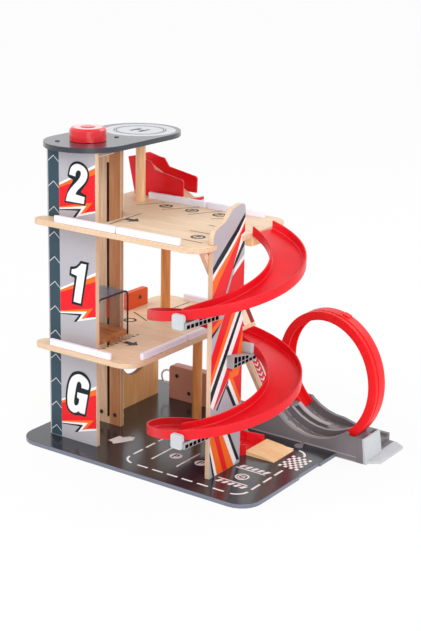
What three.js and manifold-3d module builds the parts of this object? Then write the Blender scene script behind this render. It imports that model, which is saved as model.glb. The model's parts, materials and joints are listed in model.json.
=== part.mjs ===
// Toy parking garage: two wooden decks round a lift tower, a spiral ramp on an upright, and a loop track.
// Millimetres, +Z up. The origin is the centre of the base board's underside, +X along its long front edge.
import * as THREE from 'three';
import { mergeVertices } from 'three/addons/utils/BufferGeometryUtils.js';
import Module from 'manifold-3d';

// Driving dimensions. An inset is measured from the board's left edge (along X) or front edge (along Y).
const PLY = 9;
const SEAT_GAP = 0.3;
const CUT_OVERRUN = 5;
const BOARD = {
  length: 500,
  width: 400,
  thickness: 8,
  cornerRadius: 40,
  notchDepth: 3,
  notchInset: 161,
  notchLength: 69,
};
const TOWER = {
  inset: 38.5,
  width: 108,
  panelInset: 49,
  farWallInset: 149,
  farWallWidth: 57,
  height: 538,
  slotWidth: 5.7,
  slotBottom: 20,
  slotTopMargin: 1.1,
  stopLength: 15,
};
const DECK = {
  leftOverhang: 8,
  frontInset: 14,
  cornerRadius: 34,
  innerRadius: 6,
  shaftMargin: 3.5,
  sliderMargin: 3,
};
const DECK_1 = { underside: 182, rightInset: 250, backInset: 398 };
const DECK_2 = {
  underside: 406,
  rightInset: 388,
  backInset: 290,
  launcherBackInset: 337,
  launcherRightInset: 172,
};
const CURB = { width: 8, height: 11.5, endRadius: 3, edgeGap: 3, launcherGap: 15 };
// Where each curb bar starts and ends along its deck's edge.
const CURB_SHARES = {
  deck1Front: [0.162, 0.781],
  deck1RightNear: [0.099, 0.437],
  deck1RightFar: [0.443, 0.823],
  deck1Back: [0.262, 0.8],
  deck2FrontLeft: [0.138, 0.508],
  deck2FrontRight: [0.516, 0.877],
  deck2BackLeft: [0.172, 0.533],
  deck2BackRight: [0.538, 0.882],
};
const ROOF = { radius: 77, frontCentreInset: 95, backCentreInset: 237 };
const KNOB = {
  radius: 32,
  height: 23,
  rimRadius: 4,
  boreDepth: 14,
  capRadius: 11,
  capHeight: 1.5,
};
const SHAFT = { radius: 4, runningGap: 0.4, tail: 34 };
const SPOOL = { radius: 14, flangeRadius: 19, grooveWidth: 6, height: 14 };
const CORD = {
  radius: 1.2,
  clearance: 0.9,
  leftInset: 93.5,
  rightInset: 107,
  belowRoof: 20,
  behindWall: 7,
  bendRadius: 5,
  guideHeight: 20,
};
const PIN = { flangeRadius: 9, flangeThickness: 3, reach: 13 };
const CABIN = {
  length: 96,
  frontGap: 2.5,
  backGap: 2.5,
  skin: 3,
  floorThickness: 10,
  height: 84,
  cornerRadius: 11,
  restHeight: 193,
};
const SLIDER = { width: 16, depth: 10, height: 50, rise: 21, slotClearance: 0.5 };
const POST = { radius: 9 };
const POSTS = {
  roof: { xInset: 94, yInset: 242 },
  middle: { xInset: 138, yInset: 262 },
  lower: { xInset: 225, yInset: 245 },
};
const UPRIGHT = {
  xInset: 377,
  frontInset: 54,
  backInset: 147,
  tabDepth: 9,
  tip: 470,
  shoulder: 422,
  crestRadius: 9,
  shoulderRadius: 18,
};
// The upright's crest, as shares of its depth from the back and of its rise from the tip.
const UPRIGHT_CREST_SHARES = [
  [0.2, 0],
  [0.4, 0.08],
  [0.62, 0.44],
];
const UPRIGHT_FRONT_SHARE = 0.7;
const BRACE = {
  topFront: 37,
  leanAngle: 57.17,
  width: 61,
  notchOverTrack: 15.6,
  notchUnderTrack: 4.4,
  notchClearance: 5,
  stripWidth: 23,
  stripOverrun: 7,
  stripEnd: 17,
  heelHeight: 80,
  footFront: 286,
};
const TRACK = {
  xInset: 385,
  yInset: 96,
  outerRadius: 130,
  width: 60,
  wallHeight: 17,
  skin: 3,
  topHeight: 428,
  turnDrop: 201.6,
  startAngle: 87,
  exitAngle: 105,
  halfTurns: 4,
  jointGap: 0.4,
};
const TRACK_REST = { width: 14, uprightGap: 19, margin: 2, height: 15 };
const ARM = {
  width: 14,
  rootHeight: 17.5,
  tipHeight: 11.5,
  underTrack: 0.5,
  reachPastEdge: 4,
  frontStart: 66,
  backStart: 100,
  backEnd: 178,
  backHeight: 7.2,
  backSeatRise: 5,
  backRootRise: 10,
};
const CLIP = {
  width: 22,
  thickness: 8,
  underTrack: 12.6,
  belowWallTop: 4.6,
  cornerRadius: 4,
  innerHeight: 16,
  innerThickness: 9,
};
const CHUTE = {
  frontInset: 178,
  width: 62,
  wallHeight: 19,
  endInset: 378,
  skin: 3,
  floor: 2,
};
const RAMP = {
  frontInset: 179,
  width: 68,
  endInset: 436,
  crestInset: 412,
  thickness: 9,
  lip: 1.5,
  crestDrop: 3,
};
const LOOP = {
  rightInset: 53,
  yInset: 318,
  centreHeight: 126.5,
  outerRadius: 118.5,
  lateralLead: 60,
  skew: 0.15,
  bandWidth: 34,
  skin: 3,
  rim: 16,
  rightAngle: 30,
  topAngle: 172,
  leftAngle: 322,
};
const LOOP_BASE = {
  leftReach: 187,
  frontInset: 285,
  backInset: 410,
  rightReach: 40.7,
  crestReach: 134,
  crestHeight: 52,
  toeHeight: 3,
  rightHeight: 46,
  nearLaneFront: 295,
  nearLaneBack: 334,
  farLaneFront: 365,
  farLaneBack: 402,
  exitFloor: 11,
  exitWall: 16,
  endStep: 18,
};
// Share of the exit lane's length over which its wall falls.
const EXIT_FALL_SHARE = 0.33;
const END_BLOCK = {
  width: 60,
  topLength: 12,
  footLength: 19,
  pocketDepth: 14,
  pocketWidth: 18,
  pocketInset: 6,
  wall: 3,
};
const EXIT_PLATE = { frontInset: 292, backInset: 402, length: 19, thickness: 5, cutCorner: 12 };
const CONNECTOR = { rightInset: 67, yInset: 268, radius: 8, neck: 6, thickness: 3 };
const LAUNCHER = {
  frontInset: 285,
  width: 47,
  skin: 4,
  sideLeft: 31,
  sideLength: 128,
  rampThickness: 8,
  rampLip: 1,
  rampLeft: 42,
  rampRight: 157,
  tipLength: 19,
  tipHeight: 6,
};
// The launching rail's side: shares of its length, and of the height from the deck to the roof.
const LAUNCHER_SIDE_SHARES = [
  [0, 0.561],
  [0.133, 0.593],
  [0.328, 0.545],
  [0.406, 0.537],
  [0.492, 0.415],
  [0.977, 0.325],
  [1, 0.3],
  [0.992, 0.073],
  [0.367, 0.073],
  [0.383, 0],
  [0.125, 0],
];
const LAUNCHER_RAMP_TOP_SHARE = 0.48;
const STOP_BLOCK = { xInset: 38, thickness: 12, frontInset: 274, length: 50, height: 34, radius: 12 };
const PUMP = { xInset: 102, length: 98, frontInset: 325, depth: 20, height: 68, radius: 8 };
const HOSE = { radius: 1.8, reach: 25, upperRise: 52, lowerRise: 24, behindFace: 10 };
const GROUND_WALL = {
  xInset: 61,
  backInset: 333,
  windowInset: 258,
  windowHeight: 112,
  windowRadius: 43,
};
const SCREW = { headRadius: 4, headHeight: 1.2 };
const SCREW_PLACES = {
  roof: [[57.5, 55.5], [110, 152]],
  farWall: [[76.4, 28], [108, 28]],
  pump: [[121, 57], [150, 27]],
  stopBlock: [[299, 19]],
};

// Counts of steps in curves.
const CORNER_STEPS = 6;
const CIRCLE_STEPS = 18;
const HALF_TURN_STEPS = 24;
const CORD_SIDES = 8;
// Cosine above which two directions count as one.
const SAME_DIRECTION_SHARE = 0.99;

// Places in the part's frame that several pieces share.
const left = -BOARD.length / 2;
const front = -BOARD.width / 2;
const boardTop = BOARD.thickness;
const deck1Top = DECK_1.underside + PLY;
const deck2Top = DECK_2.underside + PLY;
const roofTop = TOWER.height + PLY;
const towerLeft = left + TOWER.inset;
const towerRight = towerLeft + TOWER.width;
const towerX = towerLeft + TOWER.width / 2;
const panelFront = front + TOWER.panelInset;
const panelBack = panelFront + PLY;
const farWallFront = front + TOWER.farWallInset;
const farWallBack = farWallFront + PLY;
const uprightLeft = left + UPRIGHT.xInset;
const uprightRight = uprightLeft + PLY;
const uprightFront = front + UPRIGHT.frontInset;
const uprightBack = front + UPRIGHT.backInset;
const trackX = left + TRACK.xInset;
const trackY = front + TRACK.yInset;
const trackInner = TRACK.outerRadius - TRACK.width;
const right = left + BOARD.length;
const loopX = right - LOOP.rightInset;
const loopY = front + LOOP.yInset;
const cordHeight = TOWER.height - CORD.belowRoof + CORD.radius;
const cordHoleRadius = CORD.radius + CORD.clearance;
const slotTop = cordHeight - cordHoleRadius - TOWER.slotTopMargin;

const AXIS_X = new THREE.Vector3(1, 0, 0);
const AXIS_Y = new THREE.Vector3(0, 1, 0);
const AXIS_Z = new THREE.Vector3(0, 0, 1);

const wasm = await Module();
wasm.setup();

const garage = new THREE.Group();
garage.name = 'toy_parking_garage';

function finish(color, roughness, metalness = 0) {
  return new THREE.MeshStandardMaterial({ color, roughness, metalness });
}

const finishes = {
  birch: finish(0xe4c79a, 0.6),
  dowel: finish(0xdcae74, 0.55),
  darkBoard: finish(0x2f343c, 0.35),
  printedPanel: finish(0xbebcbe, 0.4),
  redPlastic: finish(0xe61e2d, 0.3),
  whitePaint: finish(0xebe8f5, 0.4),
  cabinFloor: finish(0xd28746, 0.5),
  clearBlue: finish(0x78aae6, 0.1),
  greyPlastic: finish(0x828282, 0.45),
  paleGrey: finish(0xb4b9be, 0.45),
  pumpPaint: finish(0x96695f, 0.4),
  orangePaint: finish(0xd75019, 0.4),
  cordWhite: finish(0xf0eee8, 0.7),
  hosePlastic: finish(0xf2f2f2, 0.3),
  steel: finish(0x9a9a9a, 0.35, 1),
};

function add(name, geometry, material) {
  geometry.computeVertexNormals();
  const mesh = new THREE.Mesh(geometry, material);
  mesh.name = name;
  garage.add(mesh);
  return mesh;
}

// Closed outline from corners [x, y, radius]; a corner without a radius stays sharp.
function outline(corners) {
  const points = [];
  corners.forEach(([x, y, radius = 0], index) => {
    const corner = new THREE.Vector2(x, y);
    if (radius === 0) {
      points.push(corner);
      return;
    }
    const [beforeX, beforeY] = corners.at(index - 1);
    const [afterX, afterY] = corners[(index + 1) % corners.length];
    const back = new THREE.Vector2(beforeX, beforeY).sub(corner).normalize();
    const ahead = new THREE.Vector2(afterX, afterY).sub(corner).normalize();
    const halfAngle = Math.acos(back.dot(ahead)) / 2;
    const setback = radius / Math.tan(halfAngle);
    const toCentre = back.clone().add(ahead).normalize();
    const centre = corner.clone().addScaledVector(toCentre, radius / Math.sin(halfAngle));
    const start = corner.clone().addScaledVector(back, setback).sub(centre);
    const end = corner.clone().addScaledVector(ahead, setback).sub(centre);
    const startAngle = Math.atan2(start.y, start.x);
    let turn = Math.atan2(end.y, end.x) - startAngle;
    turn -= Math.round(turn / (2 * Math.PI)) * 2 * Math.PI;
    for (let step = 0; step <= CORNER_STEPS; step += 1) {
      const angle = startAngle + (turn * step) / CORNER_STEPS;
      points.push(new THREE.Vector2(Math.cos(angle), Math.sin(angle)).multiplyScalar(radius).add(centre));
    }
  });
  return new THREE.Shape(points);
}

function rectangle(x0, y0, x1, y1, radius = 0) {
  return outline([[x0, y0, radius], [x1, y0, radius], [x1, y1, radius], [x0, y1, radius]]);
}

function circle(x, y, radius) {
  const points = [];
  for (let step = 0; step < 2 * CIRCLE_STEPS; step += 1) {
    const angle = (Math.PI * step) / CIRCLE_STEPS;
    points.push(new THREE.Vector2(x + radius * Math.cos(angle), y + radius * Math.sin(angle)));
  }
  return new THREE.Shape(points);
}

function extruded(shape, length, across, up, along) {
  const geometry = new THREE.ExtrudeGeometry(shape, { depth: length, bevelEnabled: false });
  return geometry.applyMatrix4(new THREE.Matrix4().makeBasis(across, up, along));
}

// The shape is drawn in X and Y, and reaches from one height to the other.
function alongZ(shape, from, to) {
  return extruded(shape, to - from, AXIS_X, AXIS_Y, AXIS_Z).translate(0, 0, from);
}

// The shape is drawn in Y and Z.
function alongX(shape, from, to) {
  return extruded(shape, to - from, AXIS_Y, AXIS_Z, AXIS_X).translate(from, 0, 0);
}

// The shape is drawn in X and Z.
function alongY(shape, from, to) {
  return extruded(shape, to - from, AXIS_X, AXIS_Z, AXIS_Y.clone().negate()).translate(0, to, 0);
}

// Sweeps a counter-clockwise profile through frames whose third axis points along the sweep.
function swept(profile, frames, closed = false) {
  const size = profile.length;
  const positions = frames.flatMap((frame) =>
    profile.flatMap((point) => new THREE.Vector3(point.x, point.y, 0).applyMatrix4(frame).toArray()),
  );
  const indices = [];
  const spans = closed ? frames.length : frames.length - 1;
  for (let span = 0; span < spans; span += 1) {
    const here = span * size;
    const next = ((span + 1) % frames.length) * size;
    for (let side = 0; side < size; side += 1) {
      const other = (side + 1) % size;
      indices.push(here + side, here + other, next + other);
      indices.push(here + side, next + other, next + side);
    }
  }
  if (!closed) {
    const last = (frames.length - 1) * size;
    THREE.ShapeUtils.triangulateShape(profile, []).forEach((face) => {
      const corners = face.map((index) => profile[index]);
      const [a, b, c] = THREE.ShapeUtils.isClockWise(corners) ? [...face].reverse() : face;
      indices.push(c, b, a);
      indices.push(last + a, last + b, last + c);
    });
  }
  const geometry = new THREE.BufferGeometry();
  geometry.setAttribute('position', new THREE.Float32BufferAttribute(positions, 3));
  geometry.setIndex(indices);
  return geometry;
}

function frameAt(origin, across, up) {
  const along = new THREE.Vector3().crossVectors(across, up);
  return new THREE.Matrix4().makeBasis(across, up, along).setPosition(origin);
}

// Tube round a path given as points; its section keeps its turn from one point to the next.
function tube(points, radius, sides, closed) {
  const count = points.length;
  const frames = [];
  let up = AXIS_Z.clone();
  points.forEach((point, index) => {
    const before = closed ? points.at(index - 1) : points[Math.max(index - 1, 0)];
    const after = closed ? points[(index + 1) % count] : points[Math.min(index + 1, count - 1)];
    const along = new THREE.Vector3().subVectors(after, before).normalize();
    if (Math.abs(up.dot(along)) > SAME_DIRECTION_SHARE) {
      up = AXIS_X.clone();
    }
    const across = new THREE.Vector3().crossVectors(up, along).normalize();
    up = new THREE.Vector3().crossVectors(along, across).normalize();
    frames.push(frameAt(point, across, up));
  });
  const profile = [];
  for (let side = 0; side < sides; side += 1) {
    const angle = (2 * Math.PI * side) / sides;
    profile.push(new THREE.Vector2(radius * Math.cos(angle), radius * Math.sin(angle)));
  }
  return swept(profile, frames, closed);
}

function solidOf(geometry) {
  const bare = geometry.clone();
  bare.deleteAttribute('normal');
  bare.deleteAttribute('uv');
  const merged = mergeVertices(bare);
  return new wasm.Manifold(
    new wasm.Mesh({
      numProp: 3,
      vertProperties: merged.attributes.position.array,
      triVerts: Uint32Array.from(merged.index.array),
    }),
  );
}

function geometryOf(solid) {
  const mesh = solid.getMesh();
  const geometry = new THREE.BufferGeometry();
  geometry.setAttribute('position', new THREE.BufferAttribute(mesh.vertProperties, 3));
  geometry.setIndex(new THREE.BufferAttribute(mesh.triVerts, 1));
  return geometry;
}

function cut(geometry, ...cutters) {
  return geometryOf(cutters.reduce((solid, cutter) => solid.subtract(solidOf(cutter)), solidOf(geometry)));
}

function join(...geometries) {
  return geometryOf(geometries.map(solidOf).reduce((solid, next) => solid.add(next)));
}

// Solid of revolution about a vertical axis; the profile is [radius, height] and closes on the axis.
function turned(profile, x, y) {
  const points = profile.map(([radius, height]) => new THREE.Vector2(radius, height));
  const geometry = new THREE.LatheGeometry(points, 2 * CIRCLE_STEPS);
  return geometry.rotateX(Math.PI / 2).translate(x, y, 0);
}

function baseBoard() {
  const back = front + BOARD.width;
  const notchFront = front + BOARD.notchInset;
  const notchBack = notchFront + BOARD.notchLength;
  const shape = outline([
    [left, front, BOARD.cornerRadius],
    [right, front, BOARD.cornerRadius],
    [right, notchFront],
    [right - BOARD.notchDepth, notchFront],
    [right - BOARD.notchDepth, notchBack],
    [right, notchBack],
    [right, back, BOARD.cornerRadius],
    [left, back, BOARD.cornerRadius],
  ]);
  add('base_board', alongZ(shape, 0, BOARD.thickness), finishes.darkBoard);
}

function tower() {
  const slotLeft = towerX - TOWER.slotWidth / 2;
  const slotRight = towerX + TOWER.slotWidth / 2;
  const panel = rectangle(towerLeft, boardTop, towerRight, TOWER.height);
  add('tower_front_panel', alongY(panel, panelFront, panelBack), finishes.printedPanel);

  const halfWall = TOWER.farWallWidth / 2;
  const wall = rectangle(towerX - halfWall, boardTop, towerX + halfWall, TOWER.height);
  wall.holes.push(rectangle(slotLeft, TOWER.slotBottom, slotRight, slotTop));
  [CORD.leftInset, CORD.rightInset].forEach((inset) => {
    wall.holes.push(circle(left + inset, cordHeight, cordHoleRadius));
  });
  add('tower_far_wall', alongY(wall, farWallFront, farWallBack), finishes.birch);

  const stop = rectangle(
    slotLeft + SEAT_GAP,
    slotTop - TOWER.stopLength,
    slotRight - SEAT_GAP,
    slotTop - SEAT_GAP,
  );
  add('slot_stop', alongY(stop, farWallFront, farWallBack), finishes.birch);
}

function roof() {
  const frontCentre = front + ROOF.frontCentreInset;
  const backCentre = front + ROOF.backCentreInset;
  const shape = outline([
    [towerX - ROOF.radius, frontCentre - ROOF.radius, ROOF.radius],
    [towerX + ROOF.radius, frontCentre - ROOF.radius, ROOF.radius],
    [towerX + ROOF.radius, backCentre + ROOF.radius, ROOF.radius],
    [towerX - ROOF.radius, backCentre + ROOF.radius, ROOF.radius],
  ]);
  shape.holes.push(circle(towerX, frontCentre, SHAFT.radius + SHAFT.runningGap));
  add('roof_plate', alongZ(shape, TOWER.height, roofTop), finishes.darkBoard);
}

function knobAndWinch() {
  const y = front + ROOF.frontCentreInset;
  const bottom = roofTop + SEAT_GAP;
  const top = bottom + KNOB.height;
  const bore = SHAFT.radius + SEAT_GAP;
  const boreTop = bottom + KNOB.boreDepth;
  const knobProfile = [
    [0, boreTop],
    [bore, boreTop],
    [bore, bottom],
    [KNOB.radius, bottom],
    [KNOB.radius, top - KNOB.rimRadius],
    [KNOB.radius - KNOB.rimRadius, top],
    [KNOB.capRadius, top],
    [KNOB.capRadius, top + KNOB.capHeight],
    [0, top + KNOB.capHeight],
  ];
  add('lift_knob', turned(knobProfile, towerX, y), finishes.redPlastic);

  const shaftTop = boreTop - SEAT_GAP;
  const shaftBottom = TOWER.height - SHAFT.tail;
  add('knob_shaft', alongZ(circle(towerX, y, SHAFT.radius), shaftBottom, shaftTop), finishes.steel);

  const spoolBottom = cordHeight - SPOOL.height / 2;
  const spoolTop = cordHeight + SPOOL.height / 2;
  const grooveBottom = cordHeight - SPOOL.grooveWidth / 2;
  const grooveTop = cordHeight + SPOOL.grooveWidth / 2;
  const spoolProfile = [
    [bore, spoolBottom],
    [SPOOL.flangeRadius, spoolBottom],
    [SPOOL.flangeRadius, grooveBottom],
    [SPOOL.radius, grooveBottom],
    [SPOOL.radius, grooveTop],
    [SPOOL.flangeRadius, grooveTop],
    [SPOOL.flangeRadius, spoolTop],
    [bore, spoolTop],
    [bore, spoolBottom],
  ];
  add('winch_spool', turned(spoolProfile, towerX, y), finishes.redPlastic);
}

// Endless cord: round the front of the spool, through the far wall, down behind it and round the guide pin.
function cordPoints() {
  const y = front + ROOF.frontCentreInset;
  const z = cordHeight;
  const wrap = SPOOL.radius + CORD.radius + CORD.clearance / 2;
  const leftX = left + CORD.leftInset;
  const rightX = left + CORD.rightInset;
  const backY = farWallBack + CORD.behindWall;
  const half = (rightX - leftX) / 2;
  const depth = farWallFront - y;
  const tangent = (x, side) => {
    const distance = Math.hypot(x - towerX, depth);
    return Math.atan2(depth, x - towerX) + side * Math.acos(wrap / distance);
  };
  const startAngle = tangent(rightX, -1);
  const endAngle = tangent(leftX, 1) - 2 * Math.PI;
  const points = [];
  for (let step = 0; step <= CORNER_STEPS * 2; step += 1) {
    const angle = startAngle + ((endAngle - startAngle) * step) / (CORNER_STEPS * 2);
    points.push(new THREE.Vector3(towerX + wrap * Math.cos(angle), y + wrap * Math.sin(angle), z));
  }
  points.push(new THREE.Vector3(leftX, farWallFront, z));
  points.push(new THREE.Vector3(leftX, farWallBack, z));
  for (let step = 0; step <= CORNER_STEPS; step += 1) {
    const angle = (Math.PI / 2) * (step / CORNER_STEPS);
    const outward = CORD.bendRadius * Math.sin(angle);
    const down = CORD.bendRadius * (1 - Math.cos(angle));
    points.push(new THREE.Vector3(leftX, backY - CORD.bendRadius + outward, z - down));
  }
  for (let step = 0; step <= CORNER_STEPS * 2; step += 1) {
    const angle = Math.PI + Math.PI * (step / (CORNER_STEPS * 2));
    const across = half * Math.cos(angle);
    const rise = half * Math.sin(angle);
    points.push(new THREE.Vector3(leftX + half + across, backY, CORD.guideHeight + rise));
  }
  for (let step = 0; step <= CORNER_STEPS; step += 1) {
    const angle = (Math.PI / 2) * (1 - step / CORNER_STEPS);
    const outward = CORD.bendRadius * Math.sin(angle);
    const down = CORD.bendRadius * (1 - Math.cos(angle));
    points.push(new THREE.Vector3(rightX, backY - CORD.bendRadius + outward, z - down));
  }
  points.push(new THREE.Vector3(rightX, farWallBack, z));
  points.push(new THREE.Vector3(rightX, farWallFront, z));
  return points;
}

function liftCord() {
  add('lift_cord', tube(cordPoints(), CORD.radius, CORD_SIDES, true), finishes.cordWhite);
  const pinX = left + (CORD.leftInset + CORD.rightInset) / 2;
  const pinRadius = (CORD.rightInset - CORD.leftInset) / 2 - CORD.radius - SEAT_GAP;
  const flangeStart = farWallBack + PIN.reach;
  const stem = alongY(circle(pinX, CORD.guideHeight, pinRadius), farWallBack, flangeStart + SEAT_GAP);
  const flangeShape = circle(pinX, CORD.guideHeight, PIN.flangeRadius);
  const flange = alongY(flangeShape, flangeStart, flangeStart + PIN.flangeThickness);
  add('cord_guide_pin', join(stem, flange), finishes.dowel);
}

function cabin() {
  const x0 = towerX - CABIN.length / 2;
  const x1 = towerX + CABIN.length / 2;
  const y0 = panelBack + CABIN.frontGap;
  const y1 = farWallFront - CABIN.backGap;
  const bottom = CABIN.restHeight;
  const top = bottom + CABIN.height;
  const innerRadius = CABIN.cornerRadius - CABIN.skin;
  const arch = outline([
    [y0, bottom],
    [y0 + CABIN.skin, bottom],
    [y0 + CABIN.skin, top - CABIN.skin, innerRadius],
    [y1 - CABIN.skin, top - CABIN.skin, innerRadius],
    [y1 - CABIN.skin, bottom],
    [y1, bottom],
    [y1, top, CABIN.cornerRadius],
    [y0, top, CABIN.cornerRadius],
  ]);
  add('lift_cover', alongX(arch, x0, x1), finishes.clearBlue);

  const inset = CABIN.skin + SEAT_GAP;
  const slab = rectangle(x0, y0 + inset, x1, y1 - inset);
  add('lift_floor', alongZ(slab, bottom, bottom + CABIN.floorThickness), finishes.cabinFloor);

  const low = bottom + SLIDER.rise;
  const high = low + SLIDER.height;
  const halfTongue = TOWER.slotWidth / 2 - SLIDER.slotClearance;
  const backStart = farWallBack + SLIDER.slotClearance;
  const backEnd = backStart + SLIDER.depth;
  const tongue = alongZ(rectangle(towerX - halfTongue, y1, towerX + halfTongue, backEnd), low, high);
  const halfShoe = SLIDER.width / 2;
  const shoe = alongZ(rectangle(towerX - halfShoe, backStart, towerX + halfShoe, backEnd), low, high);
  const strandX = left + CORD.leftInset;
  const groove = alongZ(
    rectangle(
      strandX - cordHoleRadius,
      farWallBack + CORD.behindWall - cordHoleRadius,
      strandX + cordHoleRadius,
      backEnd + CUT_OVERRUN,
    ),
    low - CUT_OVERRUN,
    high + CUT_OVERRUN,
  );
  add('lift_slider', cut(join(tongue, shoe), groove), finishes.orangePaint);
}

// A deck is notched from the left for the tower: a round-ended strip runs in front of the panel.
function deckCorners(rightCorners) {
  const stripLeft = towerLeft - DECK.leftOverhang;
  const stripFront = front + DECK.frontInset;
  const stripBack = panelFront - SEAT_GAP;
  const stripRadius = (stripBack - stripFront) / 2 - SEAT_GAP;
  const notchRight = towerRight + DECK.shaftMargin;
  const wallLeft = towerX - TOWER.farWallWidth / 2 - SEAT_GAP;
  const wallRight = towerX + TOWER.farWallWidth / 2 + SEAT_GAP;
  const wallBack = farWallBack + SEAT_GAP;
  const notchBack = farWallFront + PLY / 2;
  const channelLeft = towerX - SLIDER.width / 2 - DECK.sliderMargin;
  const channelRight = left + CORD.rightInset + CORD.radius + DECK.sliderMargin;
  const channelBack = farWallBack + SLIDER.slotClearance + SLIDER.depth + DECK.sliderMargin;
  return [
    [stripLeft, stripFront, stripRadius],
    ...rightCorners,
    [stripLeft, notchBack, DECK.innerRadius],
    [wallLeft, notchBack],
    [wallLeft, wallBack],
    [channelLeft, wallBack],
    [channelLeft, channelBack],
    [channelRight, channelBack],
    [channelRight, wallBack],
    [wallRight, wallBack],
    [wallRight, notchBack],
    [notchRight, notchBack],
    [notchRight, stripBack],
    [stripLeft, stripBack, stripRadius],
  ];
}

function decks() {
  const stripFront = front + DECK.frontInset;
  const deckLeft = towerLeft - DECK.leftOverhang;
  const right1 = left + DECK_1.rightInset;
  const back1 = front + DECK_1.backInset;
  const deck1 = outline(
    deckCorners([
      [right1, stripFront, DECK.cornerRadius],
      [right1, back1, DECK.cornerRadius],
      [deckLeft, back1, DECK.cornerRadius],
    ]),
  );
  add('deck_1', alongZ(deck1, DECK_1.underside, deck1Top), finishes.birch);

  const right2 = left + DECK_2.rightInset;
  const back2 = front + DECK_2.backInset;
  const slotLeft = uprightLeft - SEAT_GAP;
  const slotFront = uprightFront + UPRIGHT.tabDepth;
  const slotBack = uprightBack - UPRIGHT.tabDepth;
  const launcherRight = left + DECK_2.launcherRightInset;
  const launcherBack = front + DECK_2.launcherBackInset;
  const deck2 = outline(
    deckCorners([
      [right2, stripFront, DECK.cornerRadius],
      [right2, slotFront],
      [slotLeft, slotFront],
      [slotLeft, slotBack],
      [right2, slotBack],
      [right2, back2, DECK.cornerRadius],
      [launcherRight, back2, DECK.innerRadius],
      [launcherRight, launcherBack, DECK.innerRadius],
      [deckLeft, launcherBack, DECK.cornerRadius],
    ]),
  );
  add('deck_2', alongZ(deck2, DECK_2.underside, deck2Top), finishes.birch);
}

// Painted bars that keep the cars on the decks: a long run is cut in two.
function curbs() {
  const deckLeft = towerLeft - DECK.leftOverhang;
  const deckFront = front + DECK.frontInset;
  const frontBar = deckFront + CURB.edgeGap;
  const right1 = left + DECK_1.rightInset;
  const back1 = front + DECK_1.backInset;
  const right2 = left + DECK_2.rightInset;
  const back2 = front + DECK_2.backInset;
  const along = (y, rightEnd, [from, to]) => {
    const run = rightEnd - deckLeft;
    return [deckLeft + run * from, y, deckLeft + run * to, y + CURB.width];
  };
  const across = (rightEnd, backEnd, [from, to]) => {
    const x = rightEnd - CURB.edgeGap - CURB.width;
    const run = backEnd - deckFront;
    return [x, deckFront + run * from, x + CURB.width, deckFront + run * to];
  };
  const backBar1 = back1 - CURB.edgeGap - CURB.width;
  const backBar2 = back2 - CURB.launcherGap - CURB.width;
  const bars = {
    deck_1_front_curb: [along(frontBar, right1, CURB_SHARES.deck1Front), deck1Top],
    deck_1_right_curb_1: [across(right1, back1, CURB_SHARES.deck1RightNear), deck1Top],
    deck_1_right_curb_2: [across(right1, back1, CURB_SHARES.deck1RightFar), deck1Top],
    deck_1_back_curb: [along(backBar1, right1, CURB_SHARES.deck1Back), deck1Top],
    deck_2_front_curb_1: [along(frontBar, right2, CURB_SHARES.deck2FrontLeft), deck2Top],
    deck_2_front_curb_2: [along(frontBar, right2, CURB_SHARES.deck2FrontRight), deck2Top],
    deck_2_back_curb_1: [along(backBar2, right2, CURB_SHARES.deck2BackLeft), deck2Top],
    deck_2_back_curb_2: [along(backBar2, right2, CURB_SHARES.deck2BackRight), deck2Top],
  };
  Object.entries(bars).forEach(([name, [[x0, y0, x1, y1], z]]) => {
    add(name, alongZ(rectangle(x0, y0, x1, y1, CURB.endRadius), z, z + CURB.height), finishes.whitePaint);
  });
}

function posts() {
  const rod = (place, from, to) =>
    alongZ(circle(left + place.xInset, front + place.yInset, POST.radius), from, to);
  add('roof_post', rod(POSTS.roof, deck2Top, TOWER.height), finishes.dowel);
  add('middle_post', rod(POSTS.middle, deck1Top, DECK_2.underside), finishes.dowel);
  add('lower_post', rod(POSTS.lower, boardTop, DECK_1.underside), finishes.dowel);
}

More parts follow.
